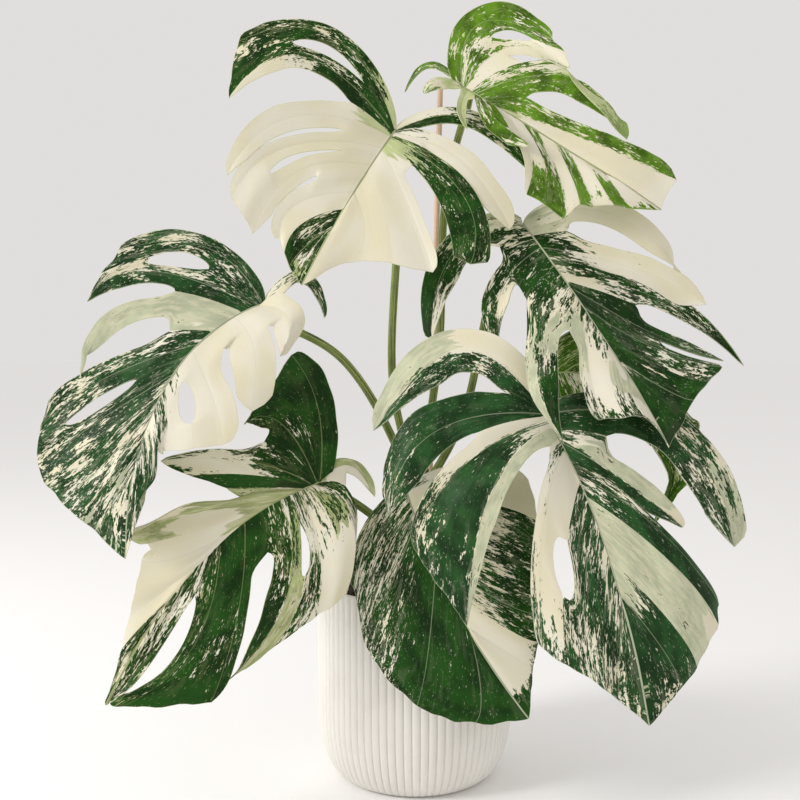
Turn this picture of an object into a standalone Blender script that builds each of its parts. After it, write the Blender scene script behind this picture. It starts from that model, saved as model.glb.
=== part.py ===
"""Potted monstera: a variegated climbing plant with eight split leaves, in a white ribbed pot.

Each leaf, leaf stalk, the stem, its stake, the soil and the pot is one closed solid.
The pot stands on its flat foot with its axis on Z and its foot at z = 0; the leaves
face -Y. Units are metres; the leaf tables below are in millimetres.
"""

import math
from collections import namedtuple

import bpy
from mathutils import Vector
from mathutils.bvhtree import BVHTree

MM = 0.001

# Pot: an upright ribbed wall that curves in to a smaller foot.
POT_RADIUS = 0.105
POT_HEIGHT = 0.207
POT_WALL = 0.006
POT_FLOOR = 0.009
FOOT_RADIUS = 0.076
FOOT_CURVE_HEIGHT = 0.075
FOOT_CURVE_STEPS = 4
RIB_COUNT = 78
RIB_DEPTH = 0.0016
RIM_ROUND = 0.0015

# Soil, which fills the pot up to a little below the rim.
SOIL_BELOW_RIM = 0.014
SOIL_CROWN = 0.005
SOIL_AROUND = 72

# Gap between pieces that touch.
CLEARANCE = 0.0003

# Stem and the wooden stake that it leans on.
STEM_RADIUS = 0.012
STEM_TOP_RADIUS = 0.0085
STEM_PLACE = (-0.004, 0.012)
STEM_ABOVE_SOIL = 0.135
STEM_IN_SOIL = 0.030
STEM_LEAN = 0.012
STEM_AROUND = 16
STAKE_RADIUS = 0.0032
STAKE_PLACE = (0.014, 0.034)
STAKE_ABOVE_SOIL = 0.555
STAKE_IN_SOIL = 0.060
STAKE_LEAN = 0.014
STAKE_AROUND = 12

# Leaf blades and their stalks.
BLADE_THICKNESS = 0.0016
BLADE_ROWS = (0, 0.13, 0.27, 0.41, 0.55, 0.70, 0.86, 1)
MIDRIB_STEPS = 14
SINUS_OPENING = 0.22
LEAST_HALF_GAP = 0.0012
SEAM_SHARE = 0.9
HOLE_SHARE = 0.7
ONWARD_SHARE = 0.2
MARGIN_ENDS = 0.6
# A smooth curve through four tips lies this share of their spread off the straight line.
MIDWAY_CURVE_SHARE = 1 / 16
LOBE_WAIST = 0.82
LOBE_WIDEST_AT = 0.7
STALK_BASE_RADIUS = 0.0045
STALK_TIP_RADIUS = 0.0038
STALK_AROUND = 8
STALK_STEPS = 12
STALK_MEETS = 0.06
STALK_SEAT = 0.0004
SEATING_STEPS = 8

WHOLE = 1.0

# A leaf blade: where its stalk meets it, a point of its midrib halfway along and its tip,
# then the lobes of each half from the stalk to the tip.
Leaf = namedtuple("Leaf", "at belly tip left right")

# A lobe, by its side vein. root: share of the midrib where the vein starts. belly and
# tip: points halfway along it and at its end, from the leaf's own place. width: across
# the free part. split: share of the vein where the lobe parts from the next one; WHOLE
# where it never does; two shares where a closed hole lies between them. cut: share of
# the lobe's length over which its end narrows.
Lobe = namedtuple("Lobe", "root belly tip width split cut")

FRONT_OF_POT = -POT_RADIUS / MM

# Every place is measured from the middle of the soil surface at the rim of the soil.
LEAVES = {
    # High on the left, hanging, with long pale fingers on its outer half.
    "leaf_upper_left": Leaf(
        at=(-20, -60, 480), belly=(-45, -35, -75), tip=(-90, -60, -160),
        left=[
            Lobe(0.01, (-60, -10, 85), (-155, -20, 80), 20, (0.22, 0.66), 0.25),
            Lobe(0.03, (-90, -20, 65), (-160, -40, 20), 26, 0.22, 0.35),
            Lobe(0.06, (-100, -30, 5), (-160, -50, -55), 30, 0.2, 0.3),
            Lobe(0.14, (-105, -35, -25), (-155, -55, -75), 20, (0.2, 0.68), 0.2),
            Lobe(0.27, (-95, -40, -50), (-135, -60, -110), 24, 0.32, 0.2),
            Lobe(0.45, (-95, -45, -80), (-110, -55, -115), 25, WHOLE, 0.4),
            Lobe(0.66, (-85, -50, -120), (-100, -60, -140), 15, WHOLE, 0.3),
        ],
        right=[
            Lobe(0.01, (75, 0, 10), (135, -20, -50), 22, 0.14, 0.3),
            Lobe(0.03, (65, -20, -35), (110, -40, -105), 28, 0.2, 0.2),
            Lobe(0.06, (65, -35, -70), (70, -70, -140), 62, 0.24, 0.12),
            Lobe(0.16, (10, -35, -75), (35, -50, -145), 18, WHOLE, 0.12),
            Lobe(0.45, (-30, -45, -105), (-40, -50, -135), 29, WHOLE, 0.2),
        ],
    ),
    # The newest leaf, at the top, spread to the right.
    "leaf_top": Leaf(
        at=(45, -35, 530), belly=(90, -40, -65), tip=(190, -65, -135),
        left=[
            Lobe(0.01, (-30, 20, 25), (-55, 10, -5), 14, 0.1, 0.5),
            Lobe(0.02, (-20, -10, 0), (-35, -25, -15), 21, 0.15, 0.5),
            Lobe(0.05, (0, -25, -30), (5, -45, -55), 11, 0.2, 0.5),
            Lobe(0.12, (35, -45, -45), (65, -65, -75), 32, 0.35, 0.4),
            Lobe(0.26, (65, -55, -85), (60, -65, -120), 16, WHOLE, 0.3),
            Lobe(0.42, (95, -60, -110), (95, -75, -145), 15, 0.8, 0.3),
            Lobe(0.58, (120, -60, -115), (125, -75, -135), 15, WHOLE, 0.3),
            Lobe(0.74, (150, -65, -120), (160, -70, -135), 15, WHOLE, 0.3),
        ],
        right=[
            Lobe(0.01, (20, -5, 60), (90, -30, 35), 35, (0.46, 0.8), 0.3),
            Lobe(0.03, (50, -10, 35), (105, -45, 5), 20, 0.38, 0.3),
            Lobe(0.09, (110, -25, 0), (160, -50, -65), 40, 0.22, 0.4),
            Lobe(0.2, (120, -45, -65), (205, -60, -105), 32, WHOLE, 0.1),
        ],
    ),
    # The widest leaf on the right, below the newest one.
    "leaf_right": Leaf(
        at=(105, -75, 385), belly=(60, -65, -100), tip=(115, -120, -210),
        left=[
            Lobe(0.01, (-65, 15, -25), (-90, 0, -115), 36, 0.25, 0.35),
            Lobe(0.13, (-20, -10, -65), (-25, -30, -120), 33, 0.33, 0.4),
            Lobe(0.32, (5, -90, -135), (20, -135, -205), 34, 0.24, 0.35),
            Lobe(0.46, (50, -95, -145), (60, -115, -185), 18, WHOLE, 0.15),
            Lobe(0.72, (85, -110, -165), (95, -120, -185), 18, WHOLE, 0.2),
        ],
        right=[
            Lobe(0.01, (85, 0, 10), (155, -12, -55), 30, 0.2, 0.25),
            Lobe(0.13, (105, -15, -45), (175, -25, -80), 32, 0.2, 0.2),
            Lobe(0.27, (140, -15, -80), (210, -30, -140), 26, 0.36, 0.5),
            Lobe(0.33, (120, -45, -110), (180, -60, -135), 18, 0.5, 0.3),
            Lobe(0.42, (120, -65, -125), (175, -75, -140), 13, WHOLE, 0.1),
            Lobe(0.66, (120, -90, -160), (145, -95, -170), 13, WHOLE, 0.2),
        ],
    ),
    # The largest leaf, low on the right and nearest to the front.
    "leaf_lower_right": Leaf(
        at=(115, -150, 205), belly=(50, -40, -115), tip=(85, -70, -270),
        left=[
            Lobe(0.01, (-75, 20, 55), (-155, 10, -20), 46, 0.18, 0.35),
            Lobe(0.02, (-100, -10, -20), (-140, -15, -95), 58, 0.3, 0.4),
            Lobe(0.04, (-80, -20, -55), (-115, -20, -130), 25, WHOLE, 0.3),
            Lobe(0.08, (-50, -40, -70), (-70, -35, -190), 26, 0.1, 0.4),
            Lobe(0.17, (-5, -50, -100), (-5, -50, -210), 17, (0.38, 0.66), 0.2),
            Lobe(0.42, (30, -55, -165), (35, -60, -230), 26, WHOLE, 0.2),
            Lobe(0.68, (60, -60, -225), (60, -65, -250), 17, WHOLE, 0.2),
        ],
        right=[
            Lobe(0.02, (115, -10, -20), (175, -15, -125), 42, 0.25, 0.14),
            Lobe(0.14, (75, -30, -65), (125, -25, -105), 27, 0.36, 0.5),
            Lobe(0.27, (100, -40, -105), (155, -30, -175), 14, WHOLE, 0.1),
            Lobe(0.42, (110, -50, -155), (145, -40, -205), 17, WHOLE, 0.1),
            Lobe(0.66, (105, -55, -215), (115, -55, -245), 17, WHOLE, 0.2),
        ],
    ),
    # On the left, reaching furthest out.
    "leaf_left": Leaf(
        at=(-145, -110, 305), belly=(-85, -55, -80), tip=(-115, -80, -230),
        left=[
            Lobe(0.01, (-60, 10, 55), (-140, 0, 50), 24, (0.3, 0.66), 0.3),
            Lobe(0.04, (-110, -5, 30), (-165, -20, 0), 26, 0.3, 0.3),
            Lobe(0.14, (-125, -20, -10), (-165, -40, -70), 22, 0.22, 0.3),
            Lobe(0.3, (-140, -40, -70), (-200, -50, -115), 34, (0.28, 0.76), 0.15),
            Lobe(0.44, (-145, -55, -110), (-200, -55, -150), 20, WHOLE, 0.1),
            Lobe(0.58, (-140, -65, -150), (-175, -65, -180), 20, WHOLE, 0.1),
            Lobe(0.76, (-130, -75, -185), (-140, -75, -210), 19, WHOLE, 0.1),
        ],
        right=[
            Lobe(0.01, (35, 10, 25), (55, 5, -15), 16, 0.3, 0.4),
            Lobe(0.03, (25, -25, -15), (20, -40, -50), 34, 0.4, 0.35),
            Lobe(0.13, (-5, -40, -45), (-5, -55, -100), 50, 0.22, 0.2),
            Lobe(0.33, (-40, -55, -90), (-30, -65, -130), 36, (0.14, 0.62), 0.25),
            Lobe(0.5, (-80, -65, -115), (-85, -70, -135), 21, 0.5, 0.3),
            Lobe(0.66, (-95, -75, -150), (-100, -80, -180), 18, WHOLE, 0.3),
        ],
    ),
    # Low on the left, beside the pot.
    "leaf_lower_left": Leaf(
        at=(-90, FRONT_OF_POT - 20, 135), belly=(-105, -25, -65), tip=(-195, -40, -200),
        left=[
            Lobe(0.01, (-5, 15, 70), (-30, 10, 120), 34, WHOLE, 0.3),
            Lobe(0.02, (-40, 10, 55), (-75, 5, 55), 23, 0.5, 0.3),
            Lobe(0.04, (-70, -5, 20), (-150, -5, 20), 21, WHOLE, 0.5),
            Lobe(0.08, (-55, -5, -5), (-90, -10, -5), 19, 0.45, 0.3),
            Lobe(0.17, (-135, -15, -30), (-185, -25, -45), 46, 0.8, 0.3),
            Lobe(0.34, (-125, -25, -65), (-165, -25, -70), 22, WHOLE, 0.2),
            Lobe(0.54, (-155, -30, -105), (-175, -30, -120), 18, WHOLE, 0.2),
            Lobe(0.74, (-175, -35, -155), (-190, -35, -180), 11, WHOLE, 0.2),
        ],
        right=[
            Lobe(0.01, (25, 10, 15), (50, 5, -15), 15, 0.4, 0.4),
            Lobe(0.03, (30, -15, -35), (25, -15, -105), 32, WHOLE, 0.3),
            Lobe(0.09, (0, -20, -70), (-5, -20, -125), 24, (0.18, 0.5), 0.3),
            Lobe(0.18, (-30, -30, -100), (-85, -30, -180), 38, 0.24, 0.5),
            Lobe(0.33, (-75, -35, -115), (-100, -40, -200), 18, WHOLE, 0.15),
            Lobe(0.44, (-115, -40, -145), (-180, -45, -200), 22, (0.2, 0.9), 0.2),
            Lobe(0.56, (-160, -35, -155), (-190, -40, -195), 9, WHOLE, 0.2),
        ],
    ),
    # The young unsplit leaf that hangs in front of the pot.
    "leaf_lower_center": Leaf(
        at=(-10, FRONT_OF_POT - 5, 125), belly=(45, -25, -105), tip=(115, -40, -210),
        left=[
            Lobe(0.01, (-30, 0, -35), (-50, -5, -95), 21, WHOLE, 0.3),
            Lobe(0.14, (-20, -15, -105), (-35, -15, -155), 19, WHOLE, 0.3),
            Lobe(0.34, (20, -25, -155), (10, -30, -200), 19, WHOLE, 0.3),
            Lobe(0.62, (70, -35, -185), (65, -40, -215), 18, WHOLE, 0.3),
        ],
        right=[
            Lobe(0.01, (60, 5, 15), (120, 0, 5), 23, WHOLE, 0.3),
            Lobe(0.1, (90, -10, -40), (135, -10, -65), 19, WHOLE, 0.3),
            Lobe(0.3, (95, -25, -105), (130, -20, -115), 19, WHOLE, 0.3),
            Lobe(0.6, (105, -35, -155), (120, -35, -165), 18, WHOLE, 0.3),
        ],
    ),
    # Behind the two leaves on the right.
    "leaf_back_right": Leaf(
        at=(125, -60, 235), belly=(85, -30, -15), tip=(140, -40, -105),
        left=[
            Lobe(0.01, (10, -5, -30), (20, -20, -60), 20, WHOLE, 0.3),
            Lobe(0.12, (40, -20, -35), (50, -30, -60), 20, 0.6, 0.3),
            Lobe(0.36, (80, -30, -40), (95, -35, -55), 18, 0.6, 0.3),
            Lobe(0.64, (130, -35, -85), (105, -45, -145), 11, WHOLE, 0.3),
        ],
        right=[
            Lobe(0.01, (20, 0, 25), (60, -5, 45), 22, 0.75, 0.3),
            Lobe(0.12, (70, -10, 25), (105, -25, 30), 22, 0.6, 0.3),
            Lobe(0.36, (115, -25, 0), (140, -40, -5), 20, 0.6, 0.3),
            Lobe(0.64, (135, -35, -45), (150, -40, -55), 16, WHOLE, 0.2),
        ],
    ),
}

# Leaf stalks: height on the stem above the soil, then points on the way to the blade.
STALKS = {
    "leaf_top": (122, [(26, 8, 260), (32, -2, 420)]),
    "leaf_upper_left": (106, [(-24, -6, 230), (-18, -22, 400)]),
    "leaf_right": (92, [(52, -4, 190), (80, -30, 320)]),
    "leaf_left": (78, [(-20, -34, 160), (-75, -70, 252)]),
    "leaf_back_right": (66, [(50, -8, 130), (105, -25, 200)]),
    "leaf_lower_right": (54, [(45, -50, 110), (90, -105, 170)]),
    "leaf_lower_left": (40, [(-40, -40, 85), (-80, -85, 120)]),
    "leaf_lower_center": (22, [(-4, -40, 78), (-8, -80, 115)]),
}

COLOURS = {
    "leaf_upper_left": (0.62, 0.66, 0.42),
    "leaf_top": (0.50, 0.62, 0.16),
    "leaf_right": (0.46, 0.55, 0.32),
    "leaf_lower_right": (0.30, 0.42, 0.20),
    "leaf_left": (0.38, 0.47, 0.26),
    "leaf_lower_left": (0.36, 0.44, 0.22),
    "leaf_lower_center": (0.30, 0.38, 0.18),
    "leaf_back_right": (0.40, 0.50, 0.14),
}
LEAF_ROUGHNESS = 0.42
STALK_COLOUR = (0.36, 0.47, 0.22)
STALK_ROUGHNESS = 0.5
STEM_COLOUR = (0.22, 0.24, 0.11)
STAKE_COLOUR = (0.62, 0.43, 0.30)
WOOD_ROUGHNESS = 0.7
SOIL_COLOUR = (0.05, 0.035, 0.025)
SOIL_ROUGHNESS = 1.0
CERAMIC_COLOUR = (0.86, 0.86, 0.86)
CERAMIC_ROUGHNESS = 0.55


def clear_scene():
    for obj in list(bpy.data.objects):
        bpy.data.objects.remove(obj, do_unlink=True)


def material(name, colour, roughness):
    made = bpy.data.materials.new(name)
    made.use_nodes = True
    shader = made.node_tree.nodes["Principled BSDF"]
    shader.inputs["Base Color"].default_value = (*colour, 1)
    shader.inputs["Roughness"].default_value = roughness
    shader.inputs["Metallic"].default_value = 0
    made.diffuse_color = (*colour, 1)
    return made


def add_object(name, points, faces, look, place=(0, 0, 0), parent=None):
    """One mesh object, shaded smooth except at its sharp edges."""
    mesh = bpy.data.meshes.new(name)
    mesh.from_pydata([tuple(point) for point in points], [], faces)
    mesh.validate()
    mesh.update()
    mesh.shade_smooth()
    mesh.set_sharp_from_angle(angle=math.radians(40))
    if look:
        mesh.materials.append(look)
    obj = bpy.data.objects.new(name, mesh)
    bpy.context.scene.collection.objects.link(obj)
    obj.location = place
    obj.parent = parent
    return obj


def ring_solid(rings):
    """Points and faces of a closed solid through rings of equally many points, ends filled."""
    around = len(rings[0])
    points = [point for ring in rings for point in ring]
    faces = [tuple(reversed(range(around)))]
    for row in range(len(rings) - 1):
        for step in range(around):
            near, far = row * around + step, row * around + (step + 1) % around
            faces.append((near, far, far + around, near + around))
    faces.append(tuple(range(len(points) - around, len(points))))
    return points, faces


def circle(radius, height, around):
    turn = 2 * math.pi / around
    return [
        Vector((radius * math.cos(k * turn), radius * math.sin(k * turn), height))
        for k in range(around)
    ]


def ribbed_circle(radius, height):
    """A ring whose points stand alternately on a rib's crest and in the groove beside it."""
    around = 2 * RIB_COUNT
    turn = 2 * math.pi / around
    ring = []
    for k in range(around):
        out = radius - RIB_DEPTH * (k % 2)
        ring.append(Vector((out * math.cos(k * turn), out * math.sin(k * turn), height)))
    return ring


def foot_radius_at(height):
    """Outer radius of the pot where the wall curves in to the foot."""
    rise = min(height / FOOT_CURVE_HEIGHT, 1)
    return FOOT_RADIUS + (POT_RADIUS - FOOT_RADIUS) * math.sqrt(1 - (1 - rise) ** 2)


def curve_heights(bottom):
    """Heights from bottom to the top of the foot curve, closer together near the foot."""
    span = FOOT_CURVE_HEIGHT - bottom
    return [
        bottom + span * (1 - math.cos(math.pi / 2 * k / FOOT_CURVE_STEPS))
        for k in range(FOOT_CURVE_STEPS + 1)
    ]


def inner_radius_at(height):
    return foot_radius_at(max(height - POT_FLOOR / 2, 0)) - POT_WALL


def add_pot(look):
    smooth = 2 * RIB_COUNT
    rings = [ribbed_circle(foot_radius_at(height), height) for height in curve_heights(0)]
    rings.append(ribbed_circle(POT_RADIUS, POT_HEIGHT - RIM_ROUND))
    rings.append(circle(POT_RADIUS - RIB_DEPTH - RIM_ROUND, POT_HEIGHT, smooth))
    rings.append(circle(POT_RADIUS - POT_WALL + RIM_ROUND, POT_HEIGHT, smooth))
    rings.append(circle(POT_RADIUS - POT_WALL, POT_HEIGHT - RIM_ROUND, smooth))
    for height in reversed(curve_heights(POT_FLOOR)):
        rings.append(circle(inner_radius_at(height), height, smooth))
    return add_object("planter", *ring_solid(rings), look)


def soil_level():
    return POT_HEIGHT - SOIL_BELOW_RIM


def soil_surface(radius):
    """Height of the soil at this distance from the pot's axis: a low mound."""
    edge = POT_RADIUS - POT_WALL
    return soil_level() + SOIL_CROWN * (1 - (radius / edge) ** 2)


def add_soil(look):
    bottom = POT_FLOOR + CLEARANCE
    rings = []
    for height in curve_heights(bottom):
        rings.append(circle(inner_radius_at(height - CLEARANCE) - CLEARANCE, height, SOIL_AROUND))
    edge = POT_RADIUS - POT_WALL - CLEARANCE
    for share in (1, 0.75, 0.45, 0.2):
        rings.append(circle(edge * share, soil_surface(edge * share), SOIL_AROUND))
    return add_object("potting_soil", *ring_solid(rings), look)


def stem_rings(radius_more=0.0, ends_more=0.0):
    """Rings of the stem, which leans a little; made larger all round for a clearance."""
    rings = []
    low, high = -STEM_IN_SOIL - ends_more, STEM_ABOVE_SOIL + ends_more
    steps = 8
    for step in range(steps + 1):
        height = low + (high - low) * step / steps
        share = max(height, 0) / STEM_ABOVE_SOIL
        radius = STEM_RADIUS + (STEM_TOP_RADIUS - STEM_RADIUS) * share + radius_more
        lean = STEM_LEAN * share ** 2
        rings.append([
            point + Vector((lean, 0, 0)) for point in circle(radius, height, STEM_AROUND)
        ])
    return rings


def stem_axis(height):
    """Point on the stem's axis at this height above the soil."""
    lean = STEM_LEAN * (height / STEM_ABOVE_SOIL) ** 2
    return Vector((STEM_PLACE[0] + lean, STEM_PLACE[1], height))


def stake_rings(radius_more=0.0, low_more=0.0):
    rings = []
    for height in (-STAKE_IN_SOIL - low_more, STAKE_ABOVE_SOIL):
        lean = STAKE_LEAN * height / STAKE_ABOVE_SOIL
        rings.append([
            point + Vector((lean, 0, 0))
            for point in circle(STAKE_RADIUS + radius_more, height, STAKE_AROUND)
        ])
    return rings


def hide_cutter(cutter):
    cutter.hide_render = True
    cutter.display_type = "WIRE"


def cut(obj, cutter):
    modifier = obj.modifiers.new("cut", "BOOLEAN")
    modifier.operation = "DIFFERENCE"
    modifier.solver = "EXACT"
    modifier.object = cutter


def through(start, middle, end, share):
    """Point at this share of the smooth curve that passes through three points."""
    bend = 2 * middle - (start + end) / 2
    return start * (1 - share) ** 2 + bend * (2 * share * (1 - share)) + end * share ** 2


def smooth_step(share):
    share = min(max(share, 0), 1)
    return share * share * (3 - 2 * share)


class Half:
    """One side of a leaf blade, as rows of points on each lobe."""

    def __init__(self, leaf, lobes):
        self.leaf = leaf
        self.lobes = lobes
        self.veins = []
        for lobe in lobes:
            root = midrib_point(leaf, lobe.root)
            belly, tip = MM * Vector(lobe.belly), MM * Vector(lobe.tip)
            self.veins.append([through(root, belly, tip, share) for share in BLADE_ROWS])
        self.splits = [self.split_rows(lobe.split) for lobe in lobes]

    def split_rows(self, split):
        """First and last row between which a lobe is apart from the next one."""
        last = len(BLADE_ROWS) - 1
        if split == WHOLE:
            return None
        start, end = split if isinstance(split, tuple) else (split, None)
        first = max(1, nearest_row(start))
        if end is None:
            return (min(first, last - 1), last + 1)
        first = min(first, last - 3)
        return (first, min(max(nearest_row(end), first + 2), last - 1))

    def seam(self, index, row):
        """Point midway between this lobe's vein and the next one's."""
        if row == 0:
            share = (self.lobes[index].root + self.lobes[index + 1].root) / 2
            return midrib_point(self.leaf, share)
        middle = (self.veins[index][row] + self.veins[index + 1][row]) / 2
        if self.splits[index] is None or self.splits[index][1] < len(BLADE_ROWS):
            middle += self.margin_bulge(index) * BLADE_ROWS[row] ** 3
        return middle

    def margin_bulge(self, index):
        """How far the margin midway between two joined lobes lies out from a straight line."""
        tips = [vein[-1] for vein in self.veins] + [MM * Vector(self.leaf.tip)]
        near, far = tips[index], tips[index + 1]
        before = tips[index - 1] if index > 0 else near - (far - near) * MARGIN_ENDS
        after = tips[index + 2] if index + 2 < len(tips) else far + (far - near) * MARGIN_ENDS
        return (near + far - before - after) * MIDWAY_CURVE_SHARE

    def edge(self, index, row, toward):
        """Edge of a lobe toward the stalk (-1) or toward the tip (1)."""
        last_lobe = len(self.lobes) - 1
        vein = self.veins[index]
        share = BLADE_ROWS[row]
        if toward > 0 and index == last_lobe:
            root = self.lobes[index].root
            return midrib_point(self.leaf, root + (1 - root) * share)
        if toward < 0 and index == 0:
            if row == 0:
                return midrib_point(self.leaf, 0)
            aside = self.outer_side(row)
            reach = self.lobes[0].width / 2 * MM
            opening = smooth_step(share / SINUS_OPENING)
            return vein[row] + aside * reach * opening * self.width_share(index, share, toward)
        boundary = index if toward > 0 else index - 1
        seam = self.seam(boundary, row)
        split = self.splits[boundary]
        if split is None or not split[0] < row < split[1]:
            return seam
        return self.free_edge(index, row, toward, seam, split)

    def free_edge(self, index, row, toward, seam, split):
        """Edge where a lobe is apart from its neighbour: as wide as the lobe, inside the seam."""
        vein = self.veins[index]
        share = BLADE_ROWS[row]
        to_seam = seam - vein[row]
        along = (vein[min(row + 1, len(vein) - 1)] - vein[row - 1]).normalized()
        onward = along * to_seam.dot(along)
        beside = to_seam - onward
        distance = (to_seam.length + beside.length) / 2
        reach = self.lobes[index].width / 2 * MM * self.width_share(index, share, toward)
        onward_share = ONWARD_SHARE
        if split[1] < len(BLADE_ROWS):
            reach = max(reach, HOLE_SHARE * distance)
            onward_share = 1
        most = max(min(SEAM_SHARE * distance, distance - LEAST_HALF_GAP), 0)
        free = vein[row] + (beside + onward * onward_share).normalized() * min(reach, most)
        opening = smooth_step((share - BLADE_ROWS[split[0]]) / SINUS_OPENING)
        return seam.lerp(free, opening)

    def width_share(self, index, share, toward):
        """A lobe widens outward, then ends in a point that leans toward the blade's tip."""
        lobe = self.lobes[index]
        past = max((share - (1 - lobe.cut)) / lobe.cut, 0)
        widened = LOBE_WAIST + (1 - LOBE_WAIST) * smooth_step(share / LOBE_WIDEST_AT)
        if toward > 0:
            return widened * max(1 - past ** 1.4, 0) ** 0.9
        return widened * math.sqrt(max(1 - past ** 2, 0))

    def outer_side(self, row):
        """Direction across the first lobe, away from the second one."""
        along = self.veins[0][row] - self.veins[0][row - 1]
        across = self.veins[0][row] - self.veins[1][row]
        across -= along * across.dot(along) / along.length_squared
        return across.normalized()


def nearest_row(share):
    return min(range(len(BLADE_ROWS)), key=lambda row: abs(BLADE_ROWS[row] - share))


def midrib_point(leaf, share):
    return through(Vector((0, 0, 0)), MM * Vector(leaf.belly), MM * Vector(leaf.tip), share)


class Sheet:
    """A surface of triangles whose points at one place are one point."""

    def __init__(self):
        self.points = []
        self.index = {}
        self.faces = []

    def point(self, place):
        key = tuple(round(value / MM, 3) for value in place)
        if key not in self.index:
            self.index[key] = len(self.points)
            self.points.append(Vector(place))
        return self.index[key]

    def triangle(self, a, b, c):
        if len({a, b, c}) == 3:
            self.faces.append((a, b, c))

    def strip(self, near, far, flip):
        """Two rows of equally many points, joined by triangles across the shorter diagonal."""
        for k in range(len(near) - 1):
            a, b, c, d = near[k], near[k + 1], far[k + 1], far[k]
            pts = self.points
            if (pts[a] - pts[c]).length <= (pts[b] - pts[d]).length:
                pieces = ((a, b, c), (a, c, d))
            else:
                pieces = ((a, b, d), (b, c, d))
            for piece in pieces:
                self.triangle(*(reversed(piece) if flip else piece))

    def zip_rows(self, near, far, flip):
        """Two rows of (share, point) that may differ in number, joined in order of share."""
        i = j = 0
        while i < len(near) - 1 or j < len(far) - 1:
            step_near = j == len(far) - 1 or (
                i < len(near) - 1 and near[i + 1][0] <= far[j + 1][0]
            )
            if step_near:
                piece = (near[i][1], near[i + 1][1], far[j][1])
                i += 1
            else:
                piece = (near[i][1], far[j + 1][1], far[j][1])
                j += 1
            self.triangle(*(reversed(piece) if flip else piece))


def add_half(sheet, leaf, lobes, flip):
    half = Half(leaf, lobes)
    last_row = len(BLADE_ROWS) - 1
    inner = []
    for index, lobe in enumerate(lobes):
        rows = []
        for row in range(1, last_row + 1):
            rows.append([
                sheet.point(half.edge(index, row, -1)),
                sheet.point(half.veins[index][row]),
                sheet.point(half.edge(index, row, 1)),
            ])
        before = lobes[index - 1].root if index else -lobe.root
        start = (before + lobe.root) / 2
        inner.append((start, rows[0][0]))
        inner.append((lobe.root, rows[0][1]))
        if index == len(lobes) - 1:
            rows = [row[:2] for row in rows]
            for row in range(2, last_row + 1):
                share = lobe.root + (1 - lobe.root) * BLADE_ROWS[row]
                inner.append((share, rows[row - 1][1]))
        for near, far in zip(rows, rows[1:]):
            sheet.strip(near, far, flip)
    midrib = []
    for step in range(MIDRIB_STEPS + 1):
        share = step / MIDRIB_STEPS
        midrib.append((share, sheet.point(midrib_point(leaf, share))))
    sheet.zip_rows(midrib, inner, flip)


def point_normals(points, faces):
    normals = [Vector((0, 0, 0)) for _ in points]
    for a, b, c in faces:
        normal = (points[b] - points[a]).cross(points[c] - points[a])
        for corner in (a, b, c):
            normals[corner] += normal
    return [normal.normalized() for normal in normals]


def thicken(sheet):
    """The sheet as a closed solid of the blade's thickness."""
    normals = point_normals(sheet.points, sheet.faces)
    half = BLADE_THICKNESS / 2
    count = len(sheet.points)
    points = [point + normal * half for point, normal in zip(sheet.points, normals)]
    points += [point - normal * half for point, normal in zip(sheet.points, normals)]
    faces = list(sheet.faces)
    faces += [(c + count, b + count, a + count) for a, b, c in sheet.faces]
    sides = set()
    for a, b, c in sheet.faces:
        sides |= {(a, b), (b, c), (c, a)}
    for a, b in sorted(sides):
        if (b, a) not in sides:
            faces.append((a, a + count, b + count, b))
    return points, faces


def leaf_sheet(leaf):
    sheet = Sheet()
    add_half(sheet, leaf, leaf.left, flip=False)
    add_half(sheet, leaf, leaf.right, flip=True)
    return sheet


def add_leaf(name, leaf, sheet, look, crown):
    return add_object(name, *thicken(sheet), look, MM * Vector(leaf.at), crown)


def path_point(points, share):
    """Point at this share of a smooth curve through all the points."""
    spans = len(points) - 1
    span = min(int(share * spans), spans - 1)
    local = share * spans - span
    p1, p2 = points[span], points[span + 1]
    p0 = points[span - 1] if span else 2 * p1 - p2
    p3 = points[span + 2] if span + 2 < len(points) else 2 * p2 - p1
    return 0.5 * (
        2 * p1 + (p2 - p0) * local + (2 * p0 - 5 * p1 + 4 * p2 - p3) * local ** 2
        + (3 * p1 - p0 - 3 * p2 + p3) * local ** 3
    )


def tube_rings(path, radius_at, around):
    """Rings square to the path, turned as little as possible from one to the next."""
    rings = []
    side = None
    for step, point in enumerate(path):
        ahead = path[min(step + 1, len(path) - 1)] - path[max(step - 1, 0)]
        ahead.normalize()
        if side is None:
            side = ahead.orthogonal().normalized()
        side = (side - ahead * side.dot(ahead)).normalized()
        up = ahead.cross(side)
        radius = radius_at(step / (len(path) - 1))
        turn = 2 * math.pi / around
        rings.append([
            point + radius * (side * math.cos(k * turn) + up * math.sin(k * turn))
            for k in range(around)
        ])
    return rings


def blade_back(leaf):
    """Unit vector out of the back of the blade where the stalk meets it."""
    along = midrib_point(leaf, 2 * STALK_MEETS) - midrib_point(leaf, 0)
    left, right = MM * Vector(leaf.left[1].belly), MM * Vector(leaf.right[1].belly)
    back = (right - left).cross(along).normalized()
    return back if back.y > 0 else -back


def stalk_rings(name, leaf, lift):
    """Rings of a stalk from the stem's axis to a point this far behind the blade."""
    height, way = STALKS[name]
    points = [stem_axis(MM * height), *(MM * Vector(point) for point in way)]
    meets = MM * Vector(leaf.at) + midrib_point(leaf, STALK_MEETS)
    points.append(meets + blade_back(leaf) * lift)
    path = [path_point(points, step / STALK_STEPS) for step in range(STALK_STEPS + 1)]

    def radius_at(share):
        return STALK_BASE_RADIUS + (STALK_TIP_RADIUS - STALK_BASE_RADIUS) * share

    return tube_rings(path, radius_at, STALK_AROUND)


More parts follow.
